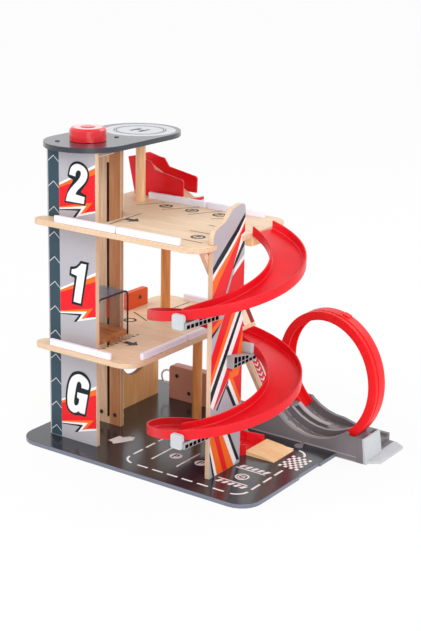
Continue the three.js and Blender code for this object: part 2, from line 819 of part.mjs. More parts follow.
function uprightAndBrace() {
  const tabFront = uprightFront + UPRIGHT.tabDepth;
  const tabBack = uprightBack - UPRIGHT.tabDepth;
  const notchLow = DECK_2.underside - SEAT_GAP;
  const notchHigh = deck2Top + SEAT_GAP;
  const depth = UPRIGHT.backInset - UPRIGHT.frontInset;
  const rise = UPRIGHT.tip - UPRIGHT.shoulder;
  const crest = UPRIGHT_CREST_SHARES.map(([fromBack, fromTip]) => [
    uprightBack - depth * fromBack,
    UPRIGHT.tip - rise * fromTip,
    UPRIGHT.crestRadius,
  ]);
  const shape = outline([
    [uprightFront, boardTop],
    [uprightBack, boardTop],
    [uprightBack, notchLow],
    [tabBack - SEAT_GAP, notchLow],
    [tabBack - SEAT_GAP, notchHigh],
    [uprightBack, notchHigh],
    [uprightBack, UPRIGHT.tip, UPRIGHT.crestRadius],
    ...crest,
    [uprightFront, UPRIGHT.tip - rise * UPRIGHT_FRONT_SHARE, UPRIGHT.shoulderRadius],
    [uprightFront, notchHigh],
    [tabFront + SEAT_GAP, notchHigh],
    [tabFront + SEAT_GAP, notchLow],
    [uprightFront, notchLow],
  ]);
  add('front_upright', alongX(shape, uprightLeft, uprightRight), finishes.printedPanel);

  // The brace leans back from the upper deck to the loop's cradle; the spiral passes through its notch.
  const top = DECK_2.underside;
  const bottom = LOOP_BASE.crestHeight + SEAT_GAP;
  const slope = Math.tan(THREE.MathUtils.degToRad(BRACE.leanAngle));
  const frontAt = (height) => front + BRACE.topFront + (top - height) / slope;
  const backAt = (height) => frontAt(height) + BRACE.width;
  const legTop = trackTop(-270);
  const notchTop = legTop + BRACE.notchOverTrack;
  const notchBottom = legTop - TRACK.wallHeight - BRACE.notchUnderTrack;
  const notchFront = trackY + trackInner - BRACE.notchClearance;
  const stripTop = notchTop + BRACE.stripOverrun;
  const stripBottom = notchBottom - BRACE.stripOverrun;
  const stripEnd = notchBottom - BRACE.stripEnd;
  const stripFront = Math.min(frontAt(stripTop), notchFront - BRACE.stripWidth);
  const brace = outline([
    [frontAt(top), top],
    [stripFront, stripTop],
    [stripFront, stripBottom],
    [frontAt(stripEnd), stripEnd],
    [frontAt(BRACE.heelHeight), BRACE.heelHeight],
    [front + BRACE.footFront, bottom],
    [backAt(bottom), bottom],
    [backAt(notchBottom), notchBottom],
    [notchFront, notchBottom],
    [notchFront, notchTop],
    [backAt(notchTop), notchTop],
    [backAt(top), top],
  ]);
  const braceRight = uprightLeft - SEAT_GAP;
  add('diagonal_brace', alongX(brace, braceRight - PLY, braceRight), finishes.birch);
}

// Wall-top height of the spiral at an angle, which falls as the angle does.
function trackTop(angle) {
  return TRACK.topHeight - (TRACK.turnDrop * (90 - angle)) / 360;
}

function trackPiece(fromAngle, toAngle) {
  const inner = trackInner;
  const outer = TRACK.outerRadius;
  const wall = TRACK.skin;
  const tall = TRACK.wallHeight;
  const profile = [
    [inner, 0],
    [outer, 0],
    [outer, tall],
    [outer - wall, tall],
    [outer - wall, wall],
    [inner + wall, wall],
    [inner + wall, tall],
    [inner, tall],
  ].map(([u, v]) => new THREE.Vector2(u, v));
  const frames = [];
  for (let step = 0; step <= HALF_TURN_STEPS; step += 1) {
    const angle = fromAngle + ((toAngle - fromAngle) * step) / HALF_TURN_STEPS;
    const turn = THREE.MathUtils.degToRad(angle);
    const across = new THREE.Vector3(Math.cos(turn), Math.sin(turn), 0);
    const origin = new THREE.Vector3(trackX, trackY, trackTop(angle) - TRACK.wallHeight);
    frames.push(frameAt(origin, across, AXIS_Z));
  }
  return swept(profile, frames);
}

function spiralTrack() {
  const lastAngle = TRACK.exitAngle - 360 * (TRACK.halfTurns / 2);
  const gapAngle = THREE.MathUtils.radToDeg(TRACK.jointGap / trackInner);
  for (let piece = 0; piece < TRACK.halfTurns; piece += 1) {
    const start = piece === 0 ? TRACK.startAngle : 90 - 180 * piece - gapAngle / 2;
    const end = piece === TRACK.halfTurns - 1 ? lastAngle : 90 - 180 * (piece + 1) + gapAngle / 2;
    add(`track_piece_${piece + 1}`, trackPiece(start, end), finishes.redPlastic);
  }

  const restRight = left + DECK_2.rightInset - SEAT_GAP;
  const restFront = uprightBack + TRACK_REST.uprightGap;
  const restBack = trackY + TRACK.outerRadius - TRACK_REST.margin;
  const rest = rectangle(restRight - TRACK_REST.width, restFront, restRight, restBack);
  const restTop = DECK_2.underside;
  add('track_start_support', alongZ(rest, restTop - TRACK_REST.height, restTop), finishes.dowel);
}

// Arms reach from the upright under each leg of the spiral; a clip at the end holds the track's wall.
function arms() {
  const x0 = uprightRight;
  const x1 = uprightRight + ARM.width;
  const underside = (angle) => trackTop(angle) - TRACK.wallHeight;
  const wallOut = trackY - TRACK.outerRadius - SEAT_GAP;
  const plateOut = wallOut - CLIP.thickness;
  const tip = trackY - TRACK.outerRadius - ARM.reachPastEdge;
  const root = front + ARM.frontStart;
  const clipLeft = uprightRight - CLIP.width / 2;
  const clipRight = clipLeft + CLIP.width;

  [-90, -450].forEach((angle, index) => {
    const top = underside(angle) - ARM.underTrack;
    const arm = outline([
      [tip, top - ARM.tipHeight],
      [root, top - ARM.rootHeight],
      [root, top],
      [tip, top],
    ]);
    add(`support_arm_${index + 1}`, alongX(arm, x0, x1), finishes.greyPlastic);
    const low = underside(angle) - CLIP.underTrack;
    const high = trackTop(angle) - CLIP.belowWallTop;
    const section = outline([
      [plateOut, low],
      [tip - SEAT_GAP, low],
      [tip - SEAT_GAP, top + SEAT_GAP],
      [wallOut, top + SEAT_GAP],
      [wallOut, high],
      [plateOut, high],
    ]);
    const face = rectangle(clipLeft, low, clipRight, high, CLIP.cornerRadius);
    const clip = solidOf(alongX(section, clipLeft, clipRight)).intersect(
      solidOf(alongY(face, plateOut - CUT_OVERRUN, wallOut + CUT_OVERRUN)),
    );
    add(`track_clip_${index + 1}`, geometryOf(clip), finishes.paleGrey);
  });

  // The third arm runs under the spiral's inner wall, and its clip stands on it inside that wall.
  const reach = x1 - trackX;
  const lowestAngle = -270 - THREE.MathUtils.radToDeg(Math.asin(reach / trackInner));
  const top = underside(lowestAngle) - SEAT_GAP;
  const bottom = top - ARM.backHeight;
  const seat = top + ARM.backSeatRise;
  const wallIn = trackY + Math.sqrt(trackInner * trackInner - reach * reach) - SEAT_GAP;
  const clipFront = wallIn - CLIP.innerThickness;
  const arm = outline([
    [front + ARM.backStart, bottom],
    [front + ARM.backEnd, bottom],
    [front + ARM.backEnd, top],
    [wallIn, top],
    [wallIn, seat],
    [clipFront - SEAT_GAP, seat],
    [front + ARM.backStart, seat + ARM.backRootRise],
  ]);
  add('support_arm_3', alongX(arm, x0, x1), finishes.greyPlastic);
  const clipBottom = seat + SEAT_GAP;
  const clip = rectangle(clipFront, clipBottom, wallIn, clipBottom + CLIP.innerHeight);
  add('track_clip_3', alongX(clip, uprightLeft, uprightLeft + CLIP.width), finishes.paleGrey);
}

// The spiral ends in a flared chute, and a bent wooden ramp takes the cars down to the board.
function chuteAndRamp() {
  const exitTurn = THREE.MathUtils.degToRad(TRACK.exitAngle);
  const end = left + CHUTE.endInset;
  const edge = (radius) => [trackX + radius * Math.cos(exitTurn), trackY + radius * Math.sin(exitTurn)];
  const [innerX, innerY] = edge(trackInner);
  const [outerX, outerY] = edge(TRACK.outerRadius);
  const frontEnd = front + CHUTE.frontInset;
  const backEnd = frontEnd + CHUTE.width;
  const plan = (inset) =>
    outline([
      [innerX + SEAT_GAP, innerY + inset],
      [end, frontEnd + inset],
      [end, backEnd - inset],
      [outerX + SEAT_GAP, outerY - inset],
    ]);
  const cutter = outline([
    [innerX - CUT_OVERRUN, innerY + CHUTE.skin],
    [innerX + SEAT_GAP, innerY + CHUTE.skin],
    [end, frontEnd + CHUTE.skin],
    [end + CUT_OVERRUN, frontEnd + CHUTE.skin],
    [end + CUT_OVERRUN, backEnd - CHUTE.skin],
    [end, backEnd - CHUTE.skin],
    [outerX + SEAT_GAP, outerY - CHUTE.skin],
    [outerX - CUT_OVERRUN, outerY - CHUTE.skin],
  ]);
  // Its floor and wall tops fall from the spiral's last section to the board.
  const high = trackTop(TRACK.exitAngle - 360 * (TRACK.halfTurns / 2));
  const low = boardTop + CHUTE.wallHeight;
  const frontFace = Math.min(innerY, frontEnd) - CUT_OVERRUN;
  const backFace = Math.max(outerY, backEnd) + CUT_OVERRUN;
  const above = (startZ, endZ) =>
    alongY(
      outline([
        [outerX - CUT_OVERRUN, startZ],
        [outerX, startZ],
        [end, endZ],
        [end + CUT_OVERRUN, endZ],
        [end + CUT_OVERRUN, high + CUT_OVERRUN],
        [outerX - CUT_OVERRUN, high + CUT_OVERRUN],
      ]),
      frontFace,
      backFace,
    );
  const channel = solidOf(alongZ(cutter, boardTop, high + CUT_OVERRUN));
  const overFloor = solidOf(above(high - TRACK.wallHeight + TRACK.skin, boardTop + CHUTE.floor));
  const hollow = geometryOf(channel.intersect(overFloor));
  add('ground_chute', cut(alongZ(plan(0), boardTop, high), above(high, low), hollow), finishes.redPlastic);

  const rampStart = end + SEAT_GAP;
  const crest = left + RAMP.crestInset;
  const rampEnd = left + RAMP.endInset;
  const ramp = outline([
    [rampStart, boardTop],
    [rampEnd, boardTop],
    [rampEnd, boardTop + RAMP.lip],
    [crest, boardTop + RAMP.thickness - RAMP.crestDrop],
    [rampStart, boardTop + RAMP.thickness],
  ]);
  const rampFront = front + RAMP.frontInset;
  add('ground_ramp', alongY(ramp, rampFront, rampFront + RAMP.width), finishes.birch);
}

// The loop's band is a channel that opens inwards, and it shifts sideways as it goes round.
function loopFrame(angle) {
  const turn = THREE.MathUtils.degToRad(angle);
  const outward = new THREE.Vector3(Math.sin(turn), 0, -Math.cos(turn));
  const shift = LOOP.lateralLead * (angle / 360) - LOOP.skew * LOOP.outerRadius * Math.sin(turn);
  const origin = new THREE.Vector3(loopX, loopY + shift, LOOP.centreHeight);
  return frameAt(origin, outward, AXIS_Y);
}

function loopBand(fromAngle, toAngle) {
  const outer = LOOP.outerRadius;
  const inner = outer - LOOP.rim;
  const half = LOOP.bandWidth / 2;
  const wall = LOOP.skin;
  const profile = [
    [outer, -half],
    [outer, half],
    [inner, half],
    [inner, half - wall],
    [outer - wall, half - wall],
    [outer - wall, wall - half],
    [inner, wall - half],
    [inner, -half],
  ].map(([u, v]) => new THREE.Vector2(u, v));
  const frames = [];
  for (let step = 0; step <= HALF_TURN_STEPS; step += 1) {
    frames.push(loopFrame(fromAngle + ((toAngle - fromAngle) * step) / HALF_TURN_STEPS));
  }
  return swept(profile, frames);
}

function loopRing() {
  const gapAngle = THREE.MathUtils.radToDeg(TRACK.jointGap / LOOP.outerRadius);
  add('loop_ring_right', loopBand(LOOP.rightAngle, LOOP.topAngle - gapAngle), finishes.redPlastic);
  add('loop_ring_left', loopBand(LOOP.topAngle + gapAngle, LOOP.leftAngle), finishes.redPlastic);
}

// Cradle of the loop: two lanes side by side in a block whose top follows the loop's circle.
function loopBase() {
  const x0 = right - LOOP_BASE.leftReach;
  const boardRight = right + SEAT_GAP;
  const x1 = boardRight + LOOP_BASE.rightReach;
  const y0 = front + LOOP_BASE.frontInset;
  const y1 = front + LOOP_BASE.backInset;
  const crestX = right - LOOP_BASE.crestReach;
  const topZ = LOOP_BASE.crestHeight;
  const block = outline([
    [x0, boardTop],
    [boardRight, boardTop],
    [boardRight, 0],
    [x1, 0],
    [x1, LOOP_BASE.rightHeight],
    [x1 - LOOP_BASE.endStep, LOOP_BASE.rightHeight],
    [x1 - LOOP_BASE.endStep, topZ],
    [crestX, topZ],
    [x0, boardTop + LOOP_BASE.toeHeight],
  ]);
  const laneRadius = LOOP.outerRadius - LOOP.skin;
  const rimRadius = LOOP.outerRadius - LOOP.rim;
  const rimCut = alongY(circle(loopX, LOOP.centreHeight, rimRadius), y0 - CUT_OVERRUN, y1 + CUT_OVERRUN);
  const lane = (from, to) => alongY(circle(loopX, LOOP.centreHeight, laneRadius), front + from, front + to);
  // The seats' circle has few sides, so it is drawn round the band's circle and not inside it.
  const seatRadius = (LOOP.outerRadius + SEAT_GAP) / Math.cos(Math.PI / (2 * CIRCLE_STEPS));
  const seat = (from, to) => alongY(circle(loopX, LOOP.centreHeight, seatRadius), front + from, front + to);
  const keep = (from, to, low, high) =>
    alongY(rectangle(from, low, to, high), y0 - CUT_OVERRUN, y1 + CUT_OVERRUN);
  const rightTurn = THREE.MathUtils.degToRad(LOOP.rightAngle);
  const leftTurn = THREE.MathUtils.degToRad(LOOP.leftAngle);
  const rightX = loopX + laneRadius * Math.sin(rightTurn) - SEAT_GAP - SEAT_GAP;
  const leftX = loopX + laneRadius * Math.sin(leftTurn) + SEAT_GAP + SEAT_GAP;
  const far = x1 + LOOP.outerRadius;
  const high = LOOP.centreHeight + LOOP.outerRadius;
  const seatRight = geometryOf(
    solidOf(seat(LOOP_BASE.frontInset + LOOP.skin, LOOP_BASE.nearLaneBack)).intersect(
      solidOf(keep(rightX, far, 0, high)),
    ),
  );
  const seatLeft = geometryOf(
    solidOf(seat(LOOP_BASE.farLaneFront, LOOP_BASE.farLaneBack + LOOP.skin)).intersect(
      solidOf(keep(x0 - LOOP.outerRadius, leftX, 0, high)),
    ),
  );
  const exitStart = loopX;
  const exitLane = alongY(
    rectangle(exitStart, LOOP_BASE.exitFloor, x1 + CUT_OVERRUN, topZ + CUT_OVERRUN),
    front + LOOP_BASE.farLaneFront,
    front + LOOP_BASE.farLaneBack,
  );
  const exitTop = alongY(
    outline([
      [exitStart, LOOP.centreHeight - rimRadius],
      [exitStart + (x1 - exitStart) * EXIT_FALL_SHARE, LOOP_BASE.exitWall],
      [x1 + CUT_OVERRUN, LOOP_BASE.exitWall],
      [x1 + CUT_OVERRUN, topZ + CUT_OVERRUN],
      [exitStart, topZ + CUT_OVERRUN],
    ]),
    front + LOOP_BASE.frontInset + END_BLOCK.width,
    y1 + CUT_OVERRUN,
  );
  const base = cut(
    alongY(block, y0, y1),
    rimCut,
    lane(LOOP_BASE.nearLaneFront, LOOP_BASE.nearLaneBack),
    lane(LOOP_BASE.farLaneFront, LOOP_BASE.farLaneBack),
    seatRight,
    seatLeft,
    exitLane,
    exitTop,
  );
  const tabX = right - CONNECTOR.rightInset;
  const tabY = front + CONNECTOR.yInset;
  const tabTop = boardTop + CONNECTOR.thickness;
  const disc = alongZ(circle(tabX, tabY, CONNECTOR.radius), boardTop, tabTop);
  const halfNeck = CONNECTOR.neck / 2;
  const neck = alongZ(rectangle(tabX - halfNeck, tabY, tabX + halfNeck, y0 + LOOP.skin), boardTop, tabTop);
  add('loop_base', join(base, disc, neck), finishes.greyPlastic);

  // End block under the loop's right side, with two pockets that hold the band's feet.
  const blockLeft = x1 + SEAT_GAP;
  const shape = outline([
    [blockLeft, 0],
    [blockLeft + END_BLOCK.footLength, 0],
    [blockLeft + END_BLOCK.topLength, LOOP_BASE.rightHeight],
    [blockLeft, LOOP_BASE.rightHeight],
  ]);
  const blockFront = y0;
  const blockBack = y0 + END_BLOCK.width;
  const pocket = (from) =>
    alongY(
      rectangle(
        blockLeft + END_BLOCK.wall,
        LOOP_BASE.rightHeight - END_BLOCK.pocketDepth,
        blockLeft + END_BLOCK.topLength - END_BLOCK.wall,
        LOOP_BASE.rightHeight + CUT_OVERRUN,
      ),
      from,
      from + END_BLOCK.pocketWidth,
    );
  const pocket1 = blockFront + END_BLOCK.pocketInset;
  const pocket2 = blockBack - END_BLOCK.pocketInset - END_BLOCK.pocketWidth;
  const endBlock = cut(alongY(shape, blockFront, blockBack), pocket(pocket1), pocket(pocket2));

  const plateLeft = blockLeft + END_BLOCK.footLength - SEAT_GAP;
  const plateFront = front + EXIT_PLATE.frontInset;
  const plateBack = front + EXIT_PLATE.backInset;
  const plate = outline([
    [plateLeft, plateFront],
    [plateLeft + EXIT_PLATE.length, plateFront + EXIT_PLATE.cutCorner],
    [plateLeft + EXIT_PLATE.length, plateBack - EXIT_PLATE.cutCorner],
    [plateLeft, plateBack],
    [blockLeft, plateBack],
    [blockLeft, blockBack - SEAT_GAP],
    [plateLeft, blockBack - SEAT_GAP],
  ]);
  add('loop_end_block', join(endBlock, alongZ(plate, 0, EXIT_PLATE.thickness)), finishes.paleGrey);
}

// Launching rail on the upper deck's back edge: two red sides with a sloping wooden floor between them.
function launcher() {
  const room = TOWER.height - deck2Top;
  const sideLeft = left + LAUNCHER.sideLeft;
  const corners = LAUNCHER_SIDE_SHARES.map(([along, up]) => [
    sideLeft + LAUNCHER.sideLength * along,
    deck2Top + room * up,
  ]);
  const y0 = front + LAUNCHER.frontInset;
  const y1 = y0 + LAUNCHER.width;
  add('launch_side_near', alongY(outline(corners), y0, y0 + LAUNCHER.skin), finishes.redPlastic);
  add('launch_side_far', alongY(outline(corners), y1 - LAUNCHER.skin, y1), finishes.redPlastic);

  const x0 = left + LAUNCHER.rampLeft;
  const x1 = left + LAUNCHER.rampRight;
  const inset = LAUNCHER.skin + SEAT_GAP;
  const highEnd = deck2Top + room * LAUNCHER_RAMP_TOP_SHARE;
  const highUnderside = highEnd - LAUNCHER.rampThickness;
  const lowEnd = deck2Top + LAUNCHER.rampLip;
  const slope = (highEnd - lowEnd) / (x1 - x0);
  const floor = outline([
    [x0, highUnderside],
    [x0 + (highUnderside - deck2Top) / slope, deck2Top],
    [x1, deck2Top],
    [x1, lowEnd],
    [x0, highEnd],
  ]);
  add('launch_ramp', alongY(floor, y0 + inset, y1 - inset), finishes.birch);
  const tip = outline([
    [x1 + SEAT_GAP, deck2Top],
    [x1 + LAUNCHER.tipLength, deck2Top],
    [x1 + LAUNCHER.tipLength, deck2Top + LAUNCHER.tipHeight],
    [x1 + SEAT_GAP, lowEnd],
  ]);
  add('launch_tip', alongY(tip, y0 + inset, y1 - inset), finishes.redPlastic);
}

function smallBlocks() {
  const stopLeft = left + STOP_BLOCK.xInset;
  const stopFront = front + STOP_BLOCK.frontInset;
  const stopTop = deck1Top + STOP_BLOCK.height;
  const stop = outline([
    [stopFront, deck1Top],
    [stopFront + STOP_BLOCK.length, deck1Top],
    [stopFront + STOP_BLOCK.length, stopTop, STOP_BLOCK.radius],
    [stopFront, stopTop, STOP_BLOCK.radius],
  ]);
  add('deck_stop_block', alongX(stop, stopLeft, stopLeft + STOP_BLOCK.thickness), finishes.orangePaint);

  const pumpLeft = left + PUMP.xInset;
  const pumpTop = boardTop + PUMP.height;
  const pump = outline([
    [pumpLeft, boardTop],
    [pumpLeft + PUMP.length, boardTop],
    [pumpLeft + PUMP.length, pumpTop, PUMP.radius],
    [pumpLeft, pumpTop, PUMP.radius],
  ]);
  const pumpFront = front + PUMP.frontInset;
  add('pump_block', alongY(pump, pumpFront, pumpFront + PUMP.depth), finishes.pumpPaint);

  // Both ends of the hose meet the block's left face.
  const hoseY = pumpFront + HOSE.behindFace;
  const high = boardTop + HOSE.upperRise;
  const low = boardTop + HOSE.lowerRise;
  const middle = (high + low) / 2;
  const half = (high - low) / 2;
  const straight = HOSE.reach - half;
  const points = [new THREE.Vector3(pumpLeft - SEAT_GAP, hoseY, high)];
  for (let step = 0; step <= CORNER_STEPS * 2; step += 1) {
    const angle = Math.PI / 2 + Math.PI * (step / (CORNER_STEPS * 2));
    points.push(
      new THREE.Vector3(pumpLeft - straight + half * Math.cos(angle), hoseY, middle + half * Math.sin(angle)),
    );
  }
  points.push(new THREE.Vector3(pumpLeft - SEAT_GAP, hoseY, low));
  add('pump_hose', tube(points, HOSE.radius, CORD_SIDES, false), finishes.hosePlastic);

  const wallLeft = left + GROUND_WALL.xInset;
  const wall = rectangle(farWallBack + SEAT_GAP, boardTop, front + GROUND_WALL.backInset, DECK_1.underside);
  const windowY = front + GROUND_WALL.windowInset;
  wall.holes.push(circle(windowY, GROUND_WALL.windowHeight, GROUND_WALL.windowRadius));
  add('ground_wall', alongX(wall, wallLeft, wallLeft + PLY), finishes.birch);
}

// Screw heads, each its own piece.
function screws() {
  const { headRadius, headHeight } = SCREW;
  const up = ([x, y]) => alongZ(circle(left + x, front + y, headRadius), roofTop, roofTop + headHeight);
  const towardFront = (face) => ([x, z]) => alongY(circle(left + x, z, headRadius), face - headHeight, face);
  const towardRight = (face) => ([y, z]) => alongX(circle(front + y, z, headRadius), face, face + headHeight);
  const pumpFace = front + PUMP.frontInset;
  const stopFace = left + STOP_BLOCK.xInset + STOP_BLOCK.thickness;
  const stopPlaces = SCREW_PLACES.stopBlock.map(([y, z]) => [y, z + deck1Top]);
  const groups = {
    roof_screw: SCREW_PLACES.roof.map(up),
    wall_screw: SCREW_PLACES.farWall.map(towardFront(farWallFront)),
    pump_screw: SCREW_PLACES.pump.map(towardFront(pumpFace)),
    stop_screw: stopPlaces.map(towardRight(stopFace)),
  };
  Object.entries(groups).forEach(([name, heads]) => {
    heads.forEach((head, index) => add(`${name}_${index + 1}`, head, finishes.steel));
  });
}

baseBoard();
tower();
roof();
knobAndWinch();
liftCord();
cabin();
decks();
curbs();
posts();
uprightAndBrace();
spiralTrack();
arms();
chuteAndRamp();
loopRing();
loopBase();
launcher();
smallBlocks();
screws();

export default garage;
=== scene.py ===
"""Looks of a toy parking garage: plywood decks, a lift tower, a spiral track and a loop.

Lengths are written in millimetres times MM. Places are insets from the base board's front left corner,
as (x, y, z) with +X along the board's front edge, +Y to the back and +Z up from the floor.
"""

import contextlib
import json
import math

import bmesh
import bpy
from mathutils import Matrix, Vector


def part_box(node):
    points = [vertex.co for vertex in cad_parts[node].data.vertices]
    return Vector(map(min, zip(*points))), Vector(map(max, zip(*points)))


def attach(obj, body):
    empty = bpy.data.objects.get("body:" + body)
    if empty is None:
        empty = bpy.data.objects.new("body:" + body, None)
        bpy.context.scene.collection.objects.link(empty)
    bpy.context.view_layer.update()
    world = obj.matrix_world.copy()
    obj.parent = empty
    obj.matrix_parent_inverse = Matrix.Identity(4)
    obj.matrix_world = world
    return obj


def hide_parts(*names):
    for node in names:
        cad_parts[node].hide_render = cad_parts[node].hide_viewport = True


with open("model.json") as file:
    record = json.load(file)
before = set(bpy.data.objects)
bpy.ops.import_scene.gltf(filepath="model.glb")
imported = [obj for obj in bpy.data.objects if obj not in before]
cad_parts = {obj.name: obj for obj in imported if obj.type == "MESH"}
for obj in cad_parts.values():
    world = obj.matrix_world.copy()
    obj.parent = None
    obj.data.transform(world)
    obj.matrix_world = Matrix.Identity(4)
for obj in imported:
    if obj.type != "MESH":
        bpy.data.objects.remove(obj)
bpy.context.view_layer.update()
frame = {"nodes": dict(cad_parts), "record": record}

MM = 0.001
X_AXIS = Vector((1, 0, 0))
Y_AXIS = Vector((0, 1, 0))
Z_AXIS = Vector((0, 0, 1))

board_low, board_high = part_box("base_board")
CORNER = Vector((board_low.x, board_low.y, 0))
BODY_OF = {node: body for body, nodes in frame["record"]["behaviour"]["bodies"].items() for node in nodes}
SLOT_OF = {row["node"]: row["material_slot"] for row in frame["record"]["subparts"]}


def at(x, y, z):
    """Point in the part's frame from insets in millimetres."""
    return CORNER + Vector((x, y, z)) * MM


def placed(name, data):
    """A new object in the scene."""
    made = bpy.data.objects.new(name, data)
    bpy.context.scene.collection.objects.link(made)
    return made


# Camera at the photograph's view
AZIMUTH = math.radians(34.708)
ELEVATION = math.radians(15.49)
ROLL = math.radians(0.989)
PHOTO_SIZE = (421, 631)
FOCAL_PIXELS = 1359.04
OPTICAL_AXIS_PIXEL = (205.57, 270.42)
CAMERA_PLACE = (1579.05, -1688.92, 959.2)
SENSOR = 36.0
CLIP_END = 50


def make_camera():
    forward = Vector(
        (
            -math.sin(AZIMUTH) * math.cos(ELEVATION),
            math.cos(AZIMUTH) * math.cos(ELEVATION),
            -math.sin(ELEVATION),
        )
    )
    level = Vector((math.cos(AZIMUTH), math.sin(AZIMUTH), 0))
    plumb = level.cross(forward)
    right = math.cos(ROLL) * level + math.sin(ROLL) * plumb
    up = math.cos(ROLL) * plumb - math.sin(ROLL) * level
    data = bpy.data.cameras.new("camera")
    longest = max(PHOTO_SIZE)
    data.sensor_width = SENSOR
    data.lens = FOCAL_PIXELS * SENSOR / longest
    data.shift_x = (PHOTO_SIZE[0] / 2 - OPTICAL_AXIS_PIXEL[0]) / longest
    data.shift_y = (OPTICAL_AXIS_PIXEL[1] - PHOTO_SIZE[1] / 2) / longest
    data.clip_end = CLIP_END
    camera = placed("camera", data)
    turn = Matrix((right, up, -forward)).transposed()
    camera.matrix_world = Matrix.Translation(at(*CAMERA_PLACE)) @ turn.to_4x4()
    bpy.context.scene.camera = camera


# Materials


def srgb(red, green, blue):
    """Linear colour from values of 0 to 255."""

    def linear(value):
        share = value / 255
        return share / 12.92 if share <= 0.04045 else ((share + 0.055) / 1.055) ** 2.4

    return (linear(red), linear(green), linear(blue), 1.0)


def scaled(color, factor):
    return tuple(min(channel * factor, 1.0) for channel in color[:3]) + (1.0,)


def connect(tree, value, socket):
    """Links a socket to an output, or sets it to a plain value."""
    if isinstance(value, bpy.types.NodeSocket):
        tree.links.new(value, socket)
    else:
        socket.default_value = value


def add_node(tree, kind, settings=None, **inputs):
    """A shader node. An input goes by its label, or by i and its place where labels repeat."""
    made = tree.nodes.new(kind)
    for key, value in (settings or {}).items():
        setattr(made, key, value)
    for key, value in inputs.items():
        label = int(key[1:]) if key[1:].isdigit() else key.replace("_", " ")
        connect(tree, value, made.inputs[label])
    return made


def math_node(tree, operation, first, second=0.0):
    return add_node(tree, "ShaderNodeMath", {"operation": operation}, i0=first, i1=second).outputs[0]


FACING_LIMIT = 0.7
BUMP_DEPTH = 0.3 * MM
FINE_BUMP_DEPTH = 0.1 * MM


class Surface:
    """A node material. What is the same all over is set on the shader's own sockets."""

    def __init__(self, name, **sockets):
        self.material = bpy.data.materials.new(name)
        self.material.use_nodes = True
        self.tree = self.material.node_tree
        self.shader = self.tree.nodes["Principled BSDF"]
        for socket, value in sockets.items():
            self.shader.inputs[socket.replace("_", " ")].default_value = value
        self.place = self.node("ShaderNodeTexCoord").outputs["Object"]

    def node(self, kind, settings=None, **inputs):
        return add_node(self.tree, kind, settings, **inputs)

    def link(self, output, socket):
        self.tree.links.new(output, self.shader.inputs[socket])

    def math(self, operation, first, second=0.0):
        return math_node(self.tree, operation, first, second)

    def noise(self, scale, detail, roughness=0.55, stretch=None):
        place = self.place
        if stretch:
            place = self.node("ShaderNodeMapping", Vector=place, Scale=stretch).outputs[0]
        made = self.node("ShaderNodeTexNoise", Vector=place, Scale=scale, Detail=detail, Roughness=roughness)
        return made.outputs[0]

    def ramp(self, factor, stops):
        made = self.node("ShaderNodeValToRGB", Fac=factor)
        ramp = made.color_ramp
        while len(ramp.elements) < len(stops):
            ramp.elements.new(0.5)
        for element, (position, color) in zip(ramp.elements, stops):
            element.position = position
            element.color = color
        return made.outputs[0]

    def grey(self, factor, low, high, start=0.3, end=0.7):
        spans = {"From_Min": start, "From_Max": end, "To_Min": low, "To_Max": high}
        return self.node("ShaderNodeMapRange", Value=factor, **spans).outputs[0]

    def mix(self, factor, first, second, blend="MIX"):
        kind = {"data_type": "RGBA", "blend_type": blend}
        return self.node("ShaderNodeMix", kind, i0=factor, i6=first, i7=second).outputs[2]

    def facing(self, axis):
        """1 where the surface faces along the axis, either way, and 0 on its edges."""
        normal = self.node("ShaderNodeNewGeometry").outputs["Normal"]
        dot = self.node("ShaderNodeVectorMath", {"operation": "DOT_PRODUCT"}, i0=normal, i1=tuple(axis))
        size = self.math("ABSOLUTE", dot.outputs["Value"])
        return self.math("GREATER_THAN", size, FACING_LIMIT)

    def along(self, axis):
        dot = self.node("ShaderNodeVectorMath", {"operation": "DOT_PRODUCT"}, i0=self.place, i1=tuple(axis))
        return dot.outputs["Value"]

    def bump(self, height, strength, distance=BUMP_DEPTH):
        made = self.node("ShaderNodeBump", Height=height, Strength=strength, Distance=distance)
        self.link(made.outputs[0], "Normal")


WOOD_LIGHT = srgb(238, 212, 184)
WOOD_DARK = srgb(220, 184, 148)
PLY_LIGHT = srgb(244, 224, 198)
PLY_DARK = srgb(194, 142, 92)
PLY_LAYER = 1.8 * MM
# Scales of the noise along the grain and across it, for the fine figure and the broad one
FINE_GRAIN = (14, 220)
BROAD_GRAIN = (3, 30)
FINE_SHARE = 0.65
BROAD_SHARE = 0.35


